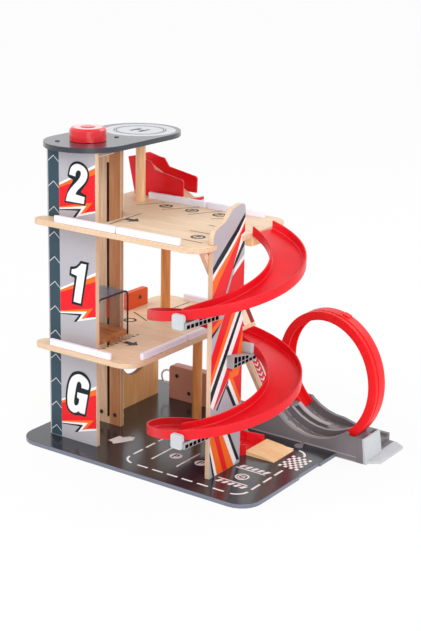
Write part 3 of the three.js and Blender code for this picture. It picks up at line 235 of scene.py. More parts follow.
def wood(name, grain, layers=None, light=WOOD_LIGHT, dark=WOOD_DARK, roughness=0.5, face=None, shade=None):
    """Lacquered wood with its grain along one axis; plywood shows its layers on the edges.

    face is a printed or painted ground that covers the two wide faces.
    shade is an axis, a start and an end along it, and the tone that the wood takes on there.
    """
    surface = Surface(name, Roughness=roughness, Coat_Weight=0.1, Coat_Roughness=0.3, Specular_IOR_Level=0.3)

    def scale(along, across):
        return tuple(along if component else across for component in grain)

    figure = surface.noise(1.0, 4.0, 0.6, scale(*FINE_GRAIN))
    broad = surface.math("MULTIPLY", surface.noise(1.0, 2.0, 0.5, scale(*BROAD_GRAIN)), BROAD_SHARE)
    tone = surface.math("ADD", surface.math("MULTIPLY", figure, FINE_SHARE), broad)
    middle = tuple((a + b) / 2 for a, b in zip(light, dark))
    color = surface.ramp(tone, [(0.34, dark), (0.5, middle), (0.62, light)])
    if shade is not None:
        axis, start, end, tone_there = shade
        amount = surface.grey(surface.along(axis), 0.0, 1.0, start, end)
        color = surface.mix(amount, color, tone_there, "MULTIPLY")
    if face is not None:
        speck = surface.noise(420, 2.0)
        color = surface.mix(surface.grey(speck, 0.0, 0.12), face, scaled(face, 0.82))
    if layers is not None:
        depth = surface.math("DIVIDE", surface.along(layers), PLY_LAYER)
        layer = surface.math("FRACT", surface.math("ADD", depth, 0.25))
        edge = surface.ramp(layer, [(0.0, PLY_DARK), (0.3, PLY_DARK), (0.38, PLY_LIGHT), (0.92, PLY_LIGHT)])
        edge = surface.mix(surface.grey(figure, 0.0, 0.35), edge, PLY_DARK)
        color = surface.mix(surface.facing(layers), edge, color)
    surface.link(color, "Base Color")
    surface.bump(figure, 0.12)
    return surface.material


GLOSS_SPREAD = 0.04


def plastic(name, color, roughness=0.3, coat=0.0, shine=0.3, edge=None):
    """Moulded plastic or lacquer with a faint unevenness in its colour and gloss.

    edge is the colour of the faces that look sideways.
    """
    surface = Surface(name, Coat_Weight=coat, Coat_Roughness=0.15, Specular_IOR_Level=shine)
    broad = surface.noise(22, 2.0)
    fine = surface.noise(900, 2.0)
    tone = surface.mix(surface.grey(broad, 0.0, 1.0), scaled(color, 0.93), scaled(color, 1.04))
    if edge is not None:
        tone = surface.mix(surface.facing(Z_AXIS), edge, tone)
    surface.link(tone, "Base Color")
    surface.link(surface.grey(fine, roughness - GLOSS_SPREAD, roughness + GLOSS_SPREAD), "Roughness")
    surface.bump(fine, 0.05, FINE_BUMP_DEPTH)
    return surface.material


def paint(name, color, roughness=0.4, speckle=0.08):
    """Paint or printing ink on wood: it keeps a little of the grain under it."""
    surface = Surface(name, Roughness=roughness, Specular_IOR_Level=0.22)
    under = surface.noise(1.0, 3.0, 0.6, (30, 160, 160))
    speck = surface.noise(500, 2.0)
    amount = surface.math("MULTIPLY", surface.math("ADD", under, speck), speckle)
    surface.link(surface.mix(amount, scaled(color, 1.03), scaled(color, 0.8)), "Base Color")
    surface.bump(under, 0.06)
    return surface.material


def clear_plastic(name, color, alpha):
    """Clear moulded plastic: it lets the light through and is deeper where it is seen along its wall."""
    surface = Surface(name, Roughness=0.08, IOR=1.45, Coat_Weight=0.1)
    weight = surface.node("ShaderNodeLayerWeight", Blend=0.5).outputs["Facing"]
    broad = surface.noise(30, 2.0)
    surface.link(surface.mix(surface.grey(broad, 0.0, 0.3), color, scaled(color, 0.9)), "Base Color")
    surface.link(surface.grey(weight, alpha, 0.6, 0.3, 0.9), "Alpha")
    return surface.material


def steel(name):
    surface = Surface(name, Metallic=1.0)
    brushed = surface.noise(1.0, 3.0, 0.6, (900, 900, 60))
    surface.link(surface.mix(brushed, srgb(190, 190, 192), srgb(130, 130, 134)), "Base Color")
    surface.link(surface.grey(brushed, 0.25, 0.45), "Roughness")
    return surface.material


RED = srgb(222, 12, 28)
ORANGE = srgb(244, 108, 28)
WHITE = srgb(240, 238, 240)
INK = srgb(12, 28, 36)
SLATE = srgb(52, 74, 86)
NAVY = srgb(20, 24, 56)
PANEL_GREY = srgb(180, 177, 184)
CHARCOAL = srgb(40, 42, 50)
BOARD_EDGE = srgb(108, 114, 130)
ROOF_EDGE = srgb(38, 42, 54)
SLOT_FACE = 92.5 * MM
SLOT_SHADE_REACH = 4 * MM

MATERIALS = {
    "deck": wood("birch_deck", X_AXIS, Z_AXIS),
    "far_wall": wood(
        "birch_far_wall",
        Z_AXIS,
        Y_AXIS,
        srgb(240, 206, 174),
        srgb(214, 168, 128),
        shade=(X_AXIS, CORNER.x + SLOT_FACE, CORNER.x + SLOT_FACE + SLOT_SHADE_REACH, srgb(226, 188, 156)),
    ),
    "brace": wood("birch_brace", Z_AXIS, X_AXIS),
    "side_wall": wood("birch_side_wall", Z_AXIS, X_AXIS, srgb(255, 208, 150), srgb(240, 174, 108)),
    "solid_wood": wood("solid_birch", X_AXIS, None, srgb(250, 214, 164), srgb(236, 188, 132)),
    "launch_wood": wood("launch_birch", X_AXIS, Y_AXIS),
    "amber": wood("amber_dowel", Z_AXIS, None, srgb(236, 166, 98), srgb(206, 128, 62), 0.35),
    "dowel": wood("lacquered_dowel", Z_AXIS, None, srgb(250, 216, 174), srgb(226, 172, 120), 0.35),
    "panel": wood("printed_panel", Z_AXIS, Y_AXIS, roughness=0.38, face=PANEL_GREY),
    "upright": wood("printed_upright", Z_AXIS, X_AXIS, roughness=0.38, face=PANEL_GREY),
    "board": plastic("board_gloss", CHARCOAL, 0.22, coat=0.3, shine=0.5, edge=BOARD_EDGE),
    "roof": plastic("roof_gloss", srgb(52, 54, 62), 0.22, coat=0.3, shine=0.5, edge=ROOF_EDGE),
    "red": plastic("red_plastic", RED, 0.34, coat=0.05),
    "red_bright": plastic("red_bright", srgb(242, 30, 36), 0.4, shine=0.2),
    "red_gloss": plastic("red_gloss", RED, 0.16, coat=0.3, shine=0.5),
    "grey": plastic("grey_plastic", srgb(124, 122, 126), 0.42),
    "rail": plastic("rail_grey", srgb(176, 168, 172), 0.4),
    "rib": plastic("rib_grey", srgb(172, 170, 172), 0.4),
    "pale": plastic("pale_plastic", srgb(196, 200, 204), 0.42),
    "curb": paint("curb_paint", srgb(236, 233, 246), 0.4, 0.04),
    "cabin_floor": wood("stained_floor", X_AXIS, None, srgb(204, 132, 80), srgb(150, 84, 44), 0.4),
    "clear": clear_plastic("clear_blue", srgb(120, 156, 190), 0.06),
    "pump": paint("pump_paint", srgb(206, 148, 130), 0.4),
    "orange": paint("orange_paint", srgb(226, 88, 36), 0.4),
    "cord": paint("cord_fibre", srgb(236, 234, 228), 0.8),
    "hose": plastic("hose_rubber", srgb(240, 240, 242), 0.35),
    "steel": steel("zinc_steel"),
    "screw": plastic("burnished_screw", srgb(46, 38, 36), 0.35, shine=0.6),
    "ink_navy": plastic("navy_edge", NAVY, 0.3),
}
# Printing inks, and paints for painted shade (slot, window, arm cells, cradle slot) and for a painted
# reflection on the knob: colour, roughness and how much of the wood under them shows
INKS = {
    "ink_white": (WHITE, 0.4, 0.03),
    "ink_bright": (srgb(252, 252, 254), 0.4, 0.02),
    "knob_reflection_blush": (srgb(236, 206, 212), 0.3, 0.03),
    "knob_reflection_rose": (srgb(204, 128, 138), 0.3, 0.03),
    "ink_red": (srgb(230, 24, 34), 0.38, 0.05),
    "ink_orange": (ORANGE, 0.38, 0.05),
    "ink_dark": (INK, 0.35, 0.1),
    "ink_slate": (SLATE, 0.38, 0.1),
    "black_ink_and_painted_shade": (srgb(22, 14, 14), 0.4, 0.1),
    "ink_cream": (srgb(246, 222, 190), 0.4, 0.05),
    "umber_edge_layer_and_window_shade": (srgb(132, 80, 44), 0.5, 0.1),
    "slot_painted_shade": (srgb(58, 26, 14), 0.5, 0.1),
    "ink_maroon": (srgb(150, 24, 30), 0.4, 0.1),
    "ink_pale": (srgb(206, 206, 212), 0.4, 0.05),
}
for ink_name, ink_values in INKS.items():
    MATERIALS[ink_name] = paint(ink_name, *ink_values)


# Mesh helpers


def new_piece(name, mesh, material, body="garage"):
    mesh.materials.clear()
    mesh.materials.append(MATERIALS[material])
    piece = placed(name, mesh)
    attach(piece, body)
    return piece


def smooth(mesh, degrees=35):
    mesh.polygons.foreach_set("use_smooth", [True] * len(mesh.polygons))
    mesh.set_sharp_from_angle(angle=math.radians(degrees))


BEVEL_SEGMENTS = 3
BEVEL_ANGLE = 35
SAME_POINT = 0.001 * MM
FLAT_ANGLE = 0.3


def rounded_edges(piece, width):
    bevel = piece.modifiers.new("edges", "BEVEL")
    bevel.width = width
    bevel.segments = BEVEL_SEGMENTS
    bevel.limit_method = "ANGLE"
    bevel.angle_limit = math.radians(BEVEL_ANGLE)
    bevel.harden_normals = True


@contextlib.contextmanager
def edited(mesh):
    """The mesh opened for editing, and written back at the end."""
    build = bmesh.new()
    build.from_mesh(mesh)
    yield build
    build.to_mesh(mesh)
    build.free()


def dressed(node, material, edge):
    """The node's own shape with its finish, and with softened edges where edge isn't zero."""
    mesh = frame["nodes"][node].data.copy()
    with edited(mesh) as build:
        bmesh.ops.remove_doubles(build, verts=build.verts, dist=SAME_POINT)
        angle = math.radians(FLAT_ANGLE)
        bmesh.ops.dissolve_limit(build, angle_limit=angle, verts=build.verts, edges=build.edges)
    smooth(mesh)
    piece = new_piece(f"{node}_finish", mesh, material, BODY_OF[node])
    if edge:
        rounded_edges(piece, edge)
    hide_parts(node)


def mesh_of(name, vertices, faces):
    mesh = bpy.data.meshes.new(name)
    mesh.from_pydata([tuple(v) for v in vertices], [], faces)
    mesh.update()
    with edited(mesh) as build:
        bmesh.ops.recalc_face_normals(build, faces=build.faces)
    return mesh


def side_faces(first, size):
    """Faces between two outlines of the same size, the second one right after the first."""
    faces = []
    for index in range(size):
        other = (index + 1) % size
        faces.append((first + index, first + other, first + size + other, first + size + index))
    return faces


def prism_faces(first, size):
    """Both ends and the sides of a prism whose two outlines follow each other."""
    ends = [tuple(start + index for index in range(size)) for start in (first, first + size)]
    return ends + side_faces(first, size)


def prisms(name, pairs):
    """Several prisms in one mesh, each from its two outlines."""
    vertices = []
    faces = []
    for low, high in pairs:
        faces += prism_faces(len(vertices), len(low))
        vertices += low + high
    return mesh_of(name, vertices, faces)


def along_x(low, high, outline):
    """An outline of (y, z) at both ends of a box's length."""
    return [Vector((x, y, z)) for x in (low.x, high.x) for y, z in outline]


def spread(start, end, steps):
    """Evenly spaced values, both ends included."""
    return [start + (end - start) * step / steps for step in range(steps + 1)]


def arc_points(u, v, radius, start, end, steps):
    """Points round a centre from one angle to another in degrees, both ends included."""
    angles = [math.radians(angle) for angle in spread(start, end, steps)]
    return [(u + radius * math.cos(a), v + radius * math.sin(a)) for a in angles]


def swept(name, profile, frames):
    """Sweeps a closed profile of (across, up) through frames of (origin, across, up)."""
    vertices = []
    for origin, across, up in frames:
        vertices += [origin + across * u + up * v for u, v in profile]
    size = len(profile)
    faces = []
    for span in range(len(frames) - 1):
        faces += side_faces(span * size, size)
    faces.append(tuple(range(size)))
    faces.append(tuple(len(vertices) - size + side for side in range(size)))
    mesh = mesh_of(name, vertices, faces)
    smooth(mesh)
    return mesh


# Prints, painted shade and painted reflection: thin shapes of ink on a plane

INK_THICKNESS = 0.08 * MM
INK_GAP = 0.02 * MM
ARC_STEPS = 24
DISC_STEPS = 40
LETTER_STEPS = 6
LETTER_SAME_POINT = 1e-5
LETTER_FLAT_ANGLE = 0.001
SOFTENING_ROUNDS = 2
SOFTENING_SHARE = 0.25


class Plane:
    """A flat face that carries prints, painted shade and painted reflection: (u, v) in millimetres from its
    origin.
    """

    def __init__(self, name, origin, u, v, body="garage", slot=None):
        self.name = name
        self.origin = origin
        self.u = u
        self.v = v
        self.normal = u.cross(v)
        self.body = body
        self.slot = slot
        self.count = 0

    def point(self, u, v, lift):
        return self.origin + (self.u * u + self.v * v) * MM + self.normal * lift

    def ink(self, material, shapes, layer=0):
        """One piece of ink that holds several outlines, a layer above the face."""
        low = INK_THICKNESS * layer + INK_GAP
        high = INK_THICKNESS * (layer + 1)
        pairs = [[[self.point(u, v, lift) for u, v in shape] for lift in (low, high)] for shape in shapes]
        self.count += 1
        # Pieces of painted shade and of painted reflection are named as prints too
        mesh = prisms(f"{self.name}_print_{self.count}", pairs)
        new_piece(mesh.name, mesh, material, self.body)

    def text(self, material, words, centre, height, fatten, layer=0):
        """Plain lettering centred on a point; fatten widens its strokes."""
        curve = bpy.data.curves.new("letter", "FONT")
        curve.body = words
        curve.align_x = "CENTER"
        curve.align_y = "CENTER"
        curve.offset = fatten
        curve.resolution_u = LETTER_STEPS
        holder = bpy.data.objects.new("letter", curve)
        flat = bpy.data.meshes.new_from_object(holder)
        bpy.data.objects.remove(holder)
        places = [[vertex.co[axis] for vertex in flat.vertices] for axis in (0, 1)]
        middle = [(max(values) + min(values)) / 2 for values in places]
        size = height / (max(places[1]) - min(places[1]) - 2 * fatten)
        low = INK_THICKNESS * layer + INK_GAP
        build = bmesh.new()
        build.from_mesh(flat)
        bmesh.ops.remove_doubles(build, verts=build.verts, dist=LETTER_SAME_POINT)
        bmesh.ops.dissolve_limit(build, angle_limit=LETTER_FLAT_ANGLE, verts=build.verts, edges=build.edges)
        for vertex in build.verts:
            u, v = (centre[axis] + (vertex.co[axis] - middle[axis]) * size for axis in (0, 1))
            vertex.co = self.point(u, v, low)
        grown = bmesh.ops.extrude_face_region(build, geom=build.faces[:])
        risen = [item for item in grown["geom"] if isinstance(item, bmesh.types.BMVert)]
        bmesh.ops.translate(build, verts=risen, vec=self.normal * (INK_THICKNESS - INK_GAP))
        bmesh.ops.recalc_face_normals(build, faces=build.faces)
        self.count += 1
        mesh = bpy.data.meshes.new(f"{self.name}_print_{self.count}")
        build.to_mesh(mesh)
        build.free()
        new_piece(mesh.name, mesh, material, self.body)


def box_shape(u0, v0, u1, v1):
    return [(u0, v0), (u1, v0), (u1, v1), (u0, v1)]


def disc_shape(u, v, radius, steps=DISC_STEPS):
    return arc_points(u, v, radius, 0.0, 360.0, steps)[:-1]


def line_shape(start, end, width):
    """A bar from one point to another."""
    direction = Vector((end[0] - start[0], end[1] - start[1])).normalized()
    side = Vector((-direction.y, direction.x)) * width / 2
    return [
        (start[0] - side.x, start[1] - side.y),
        (end[0] - side.x, end[1] - side.y),
        (end[0] + side.x, end[1] + side.y),
        (start[0] + side.x, start[1] + side.y),
    ]


def arc_shape(u, v, radius, width, start, end, steps=ARC_STEPS):
    """A curved bar round a centre, from one angle to another in degrees."""
    outer = arc_points(u, v, radius + width / 2, start, end, steps)
    inner = arc_points(u, v, radius - width / 2, start, end, steps)
    return outer + inner[::-1]


def ring_shapes(u, v, radius, width, arcs=2, steps=ARC_STEPS):
    """A full ring in several equal bars, because an outline has no hole."""
    sweep = 360 // arcs
    return [arc_shape(u, v, radius, width, start, start + sweep, steps) for start in range(0, 360, sweep)]


def moved(shape, u, v):
    return [(u + along, v + up) for along, up in shape]


def chevron_shape(u, v, half_width, drop, thickness):
    """A V turned over, with its tip at (u, v)."""
    return [
        (u, v),
        (u + half_width, v - drop),
        (u + half_width, v - (drop + thickness)),
        (u, v - thickness),
        (u - half_width, v - (drop + thickness)),
        (u - half_width, v - drop),
    ]


def softened(corners):
    """A closed outline with its corners cut round, but for those marked sharp."""
    points = [(corner[0], corner[1], len(corner) > 2) for corner in corners]
    keep = 1 - SOFTENING_SHARE
    for _ in range(SOFTENING_ROUNDS):
        cut = []
        for index, (u, v, sharp) in enumerate(points):
            if sharp:
                cut.append((u, v, True))
                continue
            for other_u, other_v, _ in (points[index - 1], points[(index + 1) % len(points)]):
                near_u = u * keep + other_u * SOFTENING_SHARE
                near_v = v * keep + other_v * SOFTENING_SHARE
                cut.append((near_u, near_v, False))
        points = cut
    return [(u, v) for u, v, _ in points]


def clipped(shape, u0, v0, u1, v1):
    """The part of an outline that lies in a rectangle."""
    for axis, limit, sign in ((0, u0, 1), (0, u1, -1), (1, v0, 1), (1, v1, -1)):
        kept = []
        for index, point in enumerate(shape):
            before = shape[index - 1]
            inside = sign * (point[axis] - limit) >= 0
            if inside != (sign * (before[axis] - limit) >= 0):
                share = (limit - before[axis]) / (point[axis] - before[axis])
                kept.append(tuple(a + (b - a) * share for a, b in zip(before, point)))
            if inside:
                kept.append(point)
        shape = kept
    return shape


# Studio

WORLD_LEVEL = 0.84
FLOOR_SIZE = 12.0
FLOOR_GLOW = 0.9
# Each lamp's name, place in metres, size in metres and power in watts
LAMPS = [
    ("front", (2.1, -2.3, 0.55), 1.8, 15),
    ("key", (-1.4, -1.9, 2.4), 1.6, 25),
    ("fill", (2.4, -1.4, 1.6), 1.8, 26),
    ("back", (0.4, 2.2, 2.2), 1.6, 12),
]
LAMP_TARGET = (0, 0, 0.25)
FLOOR_COLOR = (0.86, 0.86, 0.87, 1)
FLOOR_ROUGHNESS = 0.9
FLOOR_GAP = 0.05 * MM
PURE_WHITE = (1, 1, 1, 1)


def background_rays(tree):
    """1 for the rays that show the background: seen straight, in a reflection or through clear plastic."""
    path = tree.nodes.new("ShaderNodeLightPath")
    total = path.outputs["Is Camera Ray"]
    for ray in ("Is Glossy Ray", "Is Transmission Ray"):
        total = math_node(tree, "MAXIMUM", total, path.outputs[ray])
    return total


def make_studio():
    world = bpy.data.worlds.new("studio")
    bpy.context.scene.world = world
    world.use_nodes = True
    tree = world.node_tree
    background = tree.nodes["Background"]
    background.inputs["Color"].default_value = PURE_WHITE
    level = add_node(tree, "ShaderNodeMapRange", Value=background_rays(tree), To_Min=WORLD_LEVEL, To_Max=1.0)
    tree.links.new(level.outputs[0], background.inputs["Strength"])

    surface = Surface("pale_floor", Base_Color=FLOOR_COLOR, Roughness=FLOOR_ROUGHNESS)
    tree = surface.tree
    glow = surface.node("ShaderNodeEmission", Color=PURE_WHITE, Strength=1.0)
    share = surface.math("MULTIPLY", background_rays(tree), FLOOR_GLOW)
    both = surface.node("ShaderNodeMixShader", i0=share, i1=surface.shader.outputs[0], i2=glow.outputs[0])
    tree.links.new(both.outputs[0], tree.nodes["Material Output"].inputs["Surface"])
    corners = box_shape(-FLOOR_SIZE, -FLOOR_SIZE, FLOOR_SIZE, FLOOR_SIZE)
    mesh = mesh_of("floor", [(x, y, 0) for x, y in corners], [tuple(range(len(corners)))])
    mesh.materials.append(surface.material)
    floor = placed("floor", mesh)
    floor.location.z = -FLOOR_GAP

    for name, place, size, power in LAMPS:
        data = bpy.data.lights.new(name, "AREA")
        data.shape = "DISK"
        data.size = size
        data.energy = power
        lamp = placed(name, data)
        lamp.location = Vector(place)
        lamp.rotation_euler = (Vector(LAMP_TARGET) - lamp.location).to_track_quat("-Z", "Y").to_euler()
    bpy.context.scene.view_settings.view_transform = "Standard"


# Pieces that keep their node's shape

CURB_EDGE = 1.2 * MM
SCREW_EDGE = 0.5 * MM
# Each node's material and the width of its rounded edges in millimetres
DRESSED = {
    "tower_front_panel": ("panel", 0.5),
    "tower_far_wall": ("far_wall", 0.5),
    "slot_stop": ("solid_wood", 0.3),
    "roof_plate": ("roof", 1.0),
    "base_board": ("board", 1.2),
    "deck_1": ("deck", 0.8),
    "deck_2": ("deck", 0.8),
    "front_upright": ("upright", 0.6),
    "diagonal_brace": ("brace", 0.6),
    "ground_wall": ("side_wall", 0.6),
    "roof_post": ("dowel", 0.5),
    "middle_post": ("amber", 0.5),
    "lower_post": ("amber", 0.5),
    "track_start_support": ("solid_wood", 0.8),
    "ground_ramp": ("solid_wood", 0.8),
    "launch_ramp": ("launch_wood", 0.6),
    "launch_tip": ("red", 0.8),
    "launch_side_near": ("red", 0.9),
    "launch_side_far": ("red", 0.9),
    "cord_guide_pin": ("dowel", 0.4),
    "lift_floor": ("cabin_floor", 0.7),
    "lift_cover": ("clear", 0.7),
    "lift_slider": ("orange", 0.5),
    "lift_knob": ("red_gloss", 0.8),
    "knob_shaft": ("steel", 0.3),
    "winch_spool": ("red", 0.4),
    "lift_cord": ("cord", 0.0),
    "pump_block": ("pump", 1.0),
    "pump_hose": ("hose", 0.0),
    "loop_base": ("grey", 0.7),
    "ground_chute": ("red", 0.6),
    "support_arm_1": ("rib", 0.6),
    "support_arm_2": ("rib", 0.6),
    "support_arm_3": ("rib", 0.6),
    "track_clip_1": ("pale", 0.8),
    "track_clip_2": ("pale", 0.8),
    "track_clip_3": ("pale", 0.8),
}


def dress_nodes():
    for node, (material, edge) in DRESSED.items():
        dressed(node, material, edge * MM)
    for node in frame["nodes"]:
        if "curb" in node:
            dressed(node, "curb", CURB_EDGE)
        if "screw" in node:
            dressed(node, "screw", SCREW_EDGE)


# Spiral track

half_turn_low, half_turn_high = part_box("track_piece_2")
TRACK_CENTRE = Vector((half_turn_high.x, (half_turn_low.y + half_turn_high.y) / 2, 0))
TRACK_OUTER = (half_turn_high.y - half_turn_low.y) / 2
TRACK_WIDTH = 60 * MM
TRACK_WALL = 17 * MM
TRACK_SKIN = 3 * MM
TRACK_TOP = 428 * MM
TRACK_TOP_ANGLE = 90
TRACK_DROP = 201.6 * MM
TRACK_FILLET = 2.5 * MM
TRACK_RIM = 1.2 * MM
SWEEP_STEPS = 96
ROUND_STEPS = 5
CHANNEL_EDGE_SHARE = 0.4
# Each half turn's first and last angle in degrees, with a joint's gap between them
TRACK_SPANS = ((87, -89.8), (-90.2, -269.8), (-270.2, -449.8), (-450.2, -615))


def track_frame(angle):
    turn = math.radians(angle)
    across = Vector((math.cos(turn), math.sin(turn), 0))
    top = TRACK_TOP - TRACK_DROP * (TRACK_TOP_ANGLE - angle) / 360
    return TRACK_CENTRE + Z_AXIS * (top - TRACK_WALL), across, Z_AXIS


def channel_profile(inner, outer, tall, skin, fillet, rim):
    """A channel's outline with rounded rims on its walls and rounded inner corners."""
    edge = skin * CHANNEL_EDGE_SHARE
    corners = (
        (inner + edge, edge, edge, 180, 270),
        (outer - edge, edge, edge, 270, 360),
        (outer - rim, tall - rim, rim, 0, 90),
        (outer - skin + rim, tall - rim, rim, 90, 180),
        (outer - skin - fillet, skin + fillet, fillet, 360, 270),
        (inner + skin + fillet, skin + fillet, fillet, 270, 180),
        (inner + skin - rim, tall - rim, rim, 0, 90),
        (inner + rim, tall - rim, rim, 90, 180),
    )
    return [point for corner in corners for point in arc_points(*corner, ROUND_STEPS)]


def sweep_node(node, profile, frame_at, start, end, material):
    """A channel swept from one angle to another, in the place of its node."""
    frames = [frame_at(angle) for angle in spread(start, end, SWEEP_STEPS)]
    mesh = swept(f"{node}_finish", profile, frames)
    piece = new_piece(mesh.name, mesh, material, "garage")
    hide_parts(node)


def make_track():
    inner = TRACK_OUTER - TRACK_WIDTH
    profile = channel_profile(inner, TRACK_OUTER, TRACK_WALL, TRACK_SKIN, TRACK_FILLET, TRACK_RIM)
    for index, (start, end) in enumerate(TRACK_SPANS):
        sweep_node(f"track_piece_{index + 1}", profile, track_frame, start, end, "red")


# Loop

LOOP_CENTRE_PLACE = (447, 318, 126.5)
LOOP_CENTRE = at(*LOOP_CENTRE_PLACE)
LOOP_OUTER = 118.5 * MM
LOOP_BAND = 34 * MM
LOOP_RIM = 16 * MM
LOOP_LEAD = 60 * MM
LOOP_SKEW_SHARE = 0.15
LOOP_SKIN = 3 * MM
LOOP_FILLET = 1.5 * MM
LOOP_RIM_ROUND = 1.2 * MM
GROOVE_LEFT = -9.5 * MM
GROOVE_RIGHT = -5 * MM
GROOVE_DEPTH = 2.2 * MM
GROOVE_SLOPE = 0.5 * MM
# Angles from the loop's lowest point, in degrees
LOOP_SPANS = (("loop_ring_right", 30, 171.8), ("loop_ring_left", 172.2, 322))


def loop_outward(angle):
    turn = math.radians(angle)
    return Vector((math.sin(turn), 0, -math.cos(turn)))


def loop_frame(angle):
    shift = LOOP_LEAD * angle / 360 - LOOP_SKEW_SHARE * LOOP_OUTER * math.sin(math.radians(angle))
    return LOOP_CENTRE + Y_AXIS * shift, loop_outward(angle), Y_AXIS


def make_loop():
    half = LOOP_BAND / 2
    flat = channel_profile(-half, half, LOOP_RIM, LOOP_SKIN, LOOP_FILLET, LOOP_RIM_ROUND)
    groove = [
        (GROOVE_LEFT, 0),
        (GROOVE_LEFT + GROOVE_SLOPE, GROOVE_DEPTH),
        (GROOVE_RIGHT - GROOVE_SLOPE, GROOVE_DEPTH),
        (GROOVE_RIGHT, 0),
    ]
    first_corner = ROUND_STEPS + 1
    flat = flat[:first_corner] + groove + flat[first_corner:]
    profile = [(LOOP_OUTER - v, u) for u, v in flat]
    for node, start, end in LOOP_SPANS:
        sweep_node(node, profile, loop_frame, start, end, "red_bright")


# Prints on the tower's front panel

panel_low, panel_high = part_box("tower_front_panel")
PANEL_WIDTH = (panel_high.x - panel_low.x) / MM
PANEL_TOP = panel_high.z / MM
PANEL_END_MARGIN = 1
PANEL_SIDE_MARGIN = 0.5
STRIP = (3.0, 27.0)
STRIP_MARGIN = 0.2
CHEVRON_TOP = 523.8
CHEVRON_PITCH = 45.0
CHEVRON_COUNT = 12
CHEVRON_DROP = 10
CHEVRON_THICKNESS = 1.7
# Outlines on the panel as (u, v) in millimetres; a third value of 1 keeps a corner sharp.
DIGIT_SHADES = (
    [(46.8, 491.2, 1), (48.6, 501.3), (52.7, 510.5), (59.1, 516.2), (67, 519), (76.5, 519), (85.8, 515.3),
     (92, 509.3), (95.1, 501.1), (94.2, 492.4), (91, 484.6), (82.3, 474.8), (75.9, 466.5, 1),
     (88.5, 462.6, 1), (86, 444.3, 1), (38.9, 443.8, 1), (43.6, 459.8), (49.2, 470.5), (56.3, 480.3),
     (59, 486.1, 1), (50.8, 487.9, 1)],
    [(51.1, 331.2, 1), (63.3, 333.3), (69.8, 339.5), (74.7, 345.4, 1), (93, 344.7, 1), (77.1, 263.4, 1),
     (52.7, 264.1, 1), (60.6, 312.2, 1), (48.5, 315.3, 1)],
    [(36.2, 84.4), (38.7, 106.7), (44.3, 124.2), (52.8, 136.9), (66, 142.5), (79.2, 142.7), (90.5, 135.8),
     (96.1, 125.1), (95.2, 114.2, 1), (83.3, 58.8, 1), (66.8, 58.9), (58.4, 56.2), (45.1, 59.1),
     (38.5, 68.5)],
)
DIGITS = (
    [(50.9, 494.2, 1), (52.6, 501.8), (55.8, 508.4), (62.2, 512.9), (68.6, 514.9), (76.4, 514.1),
     (84.2, 510.8), (89.7, 505.3), (91.2, 499.4), (90.3, 493.1), (87.1, 486.6), (80.8, 479.5), (74.4, 473.7),
     (68, 467.9), (64, 461.1, 1), (84.5, 459, 1), (82.8, 446.9, 1), (42.2, 446.8, 1), (44.7, 454.7),
     (47.2, 461.3), (52.1, 468.2), (58.6, 475.3), (66.6, 482.6), (73, 489.6), (75.9, 494.9), (77.1, 499.4),
     (75.5, 502.9), (71.6, 504), (67.6, 502.5), (65.2, 498.5), (64.3, 492.2, 1)],
    [(54.3, 326.6, 1), (64.9, 329.7), (72.2, 336.1), (76.2, 340.6, 1), (87.4, 340.6, 1), (73.9, 268, 1),
     (57.7, 268.9, 1), (66.3, 316.5, 1), (53.4, 319.4, 1)],
    [(40.4, 85.3), (43.2, 106.4), (47.6, 120.9), (54.3, 130.5), (66, 136.8), (75.8, 136.6), (85.6, 132.1),
     (92.1, 124.1), (91.2, 114.6), (89.5, 111.5, 1), (74, 112, 1), (74.8, 118.9), (69.1, 123.7),
     (64.1, 119.9), (60.7, 106.3), (57.2, 89.2), (56.2, 78.1), (60.3, 74.8), (67, 79.3), (68.8, 89.2, 1),
     (63.8, 92.1, 1), (64.8, 101.8, 1), (88.6, 101.9, 1), (80.9, 63.6, 1), (70.2, 63.8, 1), (66.9, 66.4, 1),
     (58.5, 60.3), (48.5, 62.7), (41.9, 69.3)],
)
# Heights of the coloured bands behind the storeys' numbers, and each band's outline around them
STOREYS = (476.1, 288.2, 80.8)
BANDS = (
    ("ink_dark", [(27.5, -45.5), (78, -38), (64, -55), (57, -57), (69, -43), (27.5, -47.5)]),
    ("ink_white", [(27.5, 0), (108, 41.5), (108, -41.5), (65, -54.5), (77, -38.5), (27.5, -46)]),
    ("ink_orange", [(27.5, -3.5), (108, 36), (108, -37), (74.5, -48.5), (88, -32), (27.5, -43.5)]),
    ("ink_red", [(27.5, -7.5), (108, 25), (108, -38.5), (84, -44.5), (101.5, -24), (27.5, -41.5)]),
)


def print_panel():
    plane = Plane("panel", Vector((panel_low.x, panel_low.y, 0)), X_AXIS, Z_AXIS, slot="printed_panel")
    bottom = board_high.z / MM + PANEL_END_MARGIN
    top = PANEL_TOP - PANEL_END_MARGIN
    right = PANEL_WIDTH - PANEL_SIDE_MARGIN
    plane.ink("ink_slate", [box_shape(STRIP[0], bottom, STRIP[1], top)])
    middle = (STRIP[0] + STRIP[1]) / 2
    half = (STRIP[1] - STRIP[0]) / 2 - STRIP_MARGIN
    tips = [CHEVRON_TOP - CHEVRON_PITCH * index for index in range(CHEVRON_COUNT)]
    chevrons = [chevron_shape(middle, tip, half, CHEVRON_DROP, CHEVRON_THICKNESS) for tip in tips]
    plane.ink("ink_pale", chevrons, 1)
    for layer, (material, outline) in enumerate(BANDS):
        shapes = [[(min(u, right), v + storey) for u, v in outline] for storey in STOREYS]
        plane.ink(material, [clipped(shape, STRIP[1], bottom, right, top) for shape in shapes], layer)
    plane.ink("ink_dark", [softened(shape) for shape in DIGIT_SHADES], len(BANDS))
    plane.ink("ink_white", [softened(shape) for shape in DIGITS], len(BANDS) + 1)


# Prints on the front upright

upright_low, upright_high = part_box("front_upright")
UPRIGHT_SIDE_MARGIN = 0.5
UPRIGHT_FOOT_MARGIN = 1
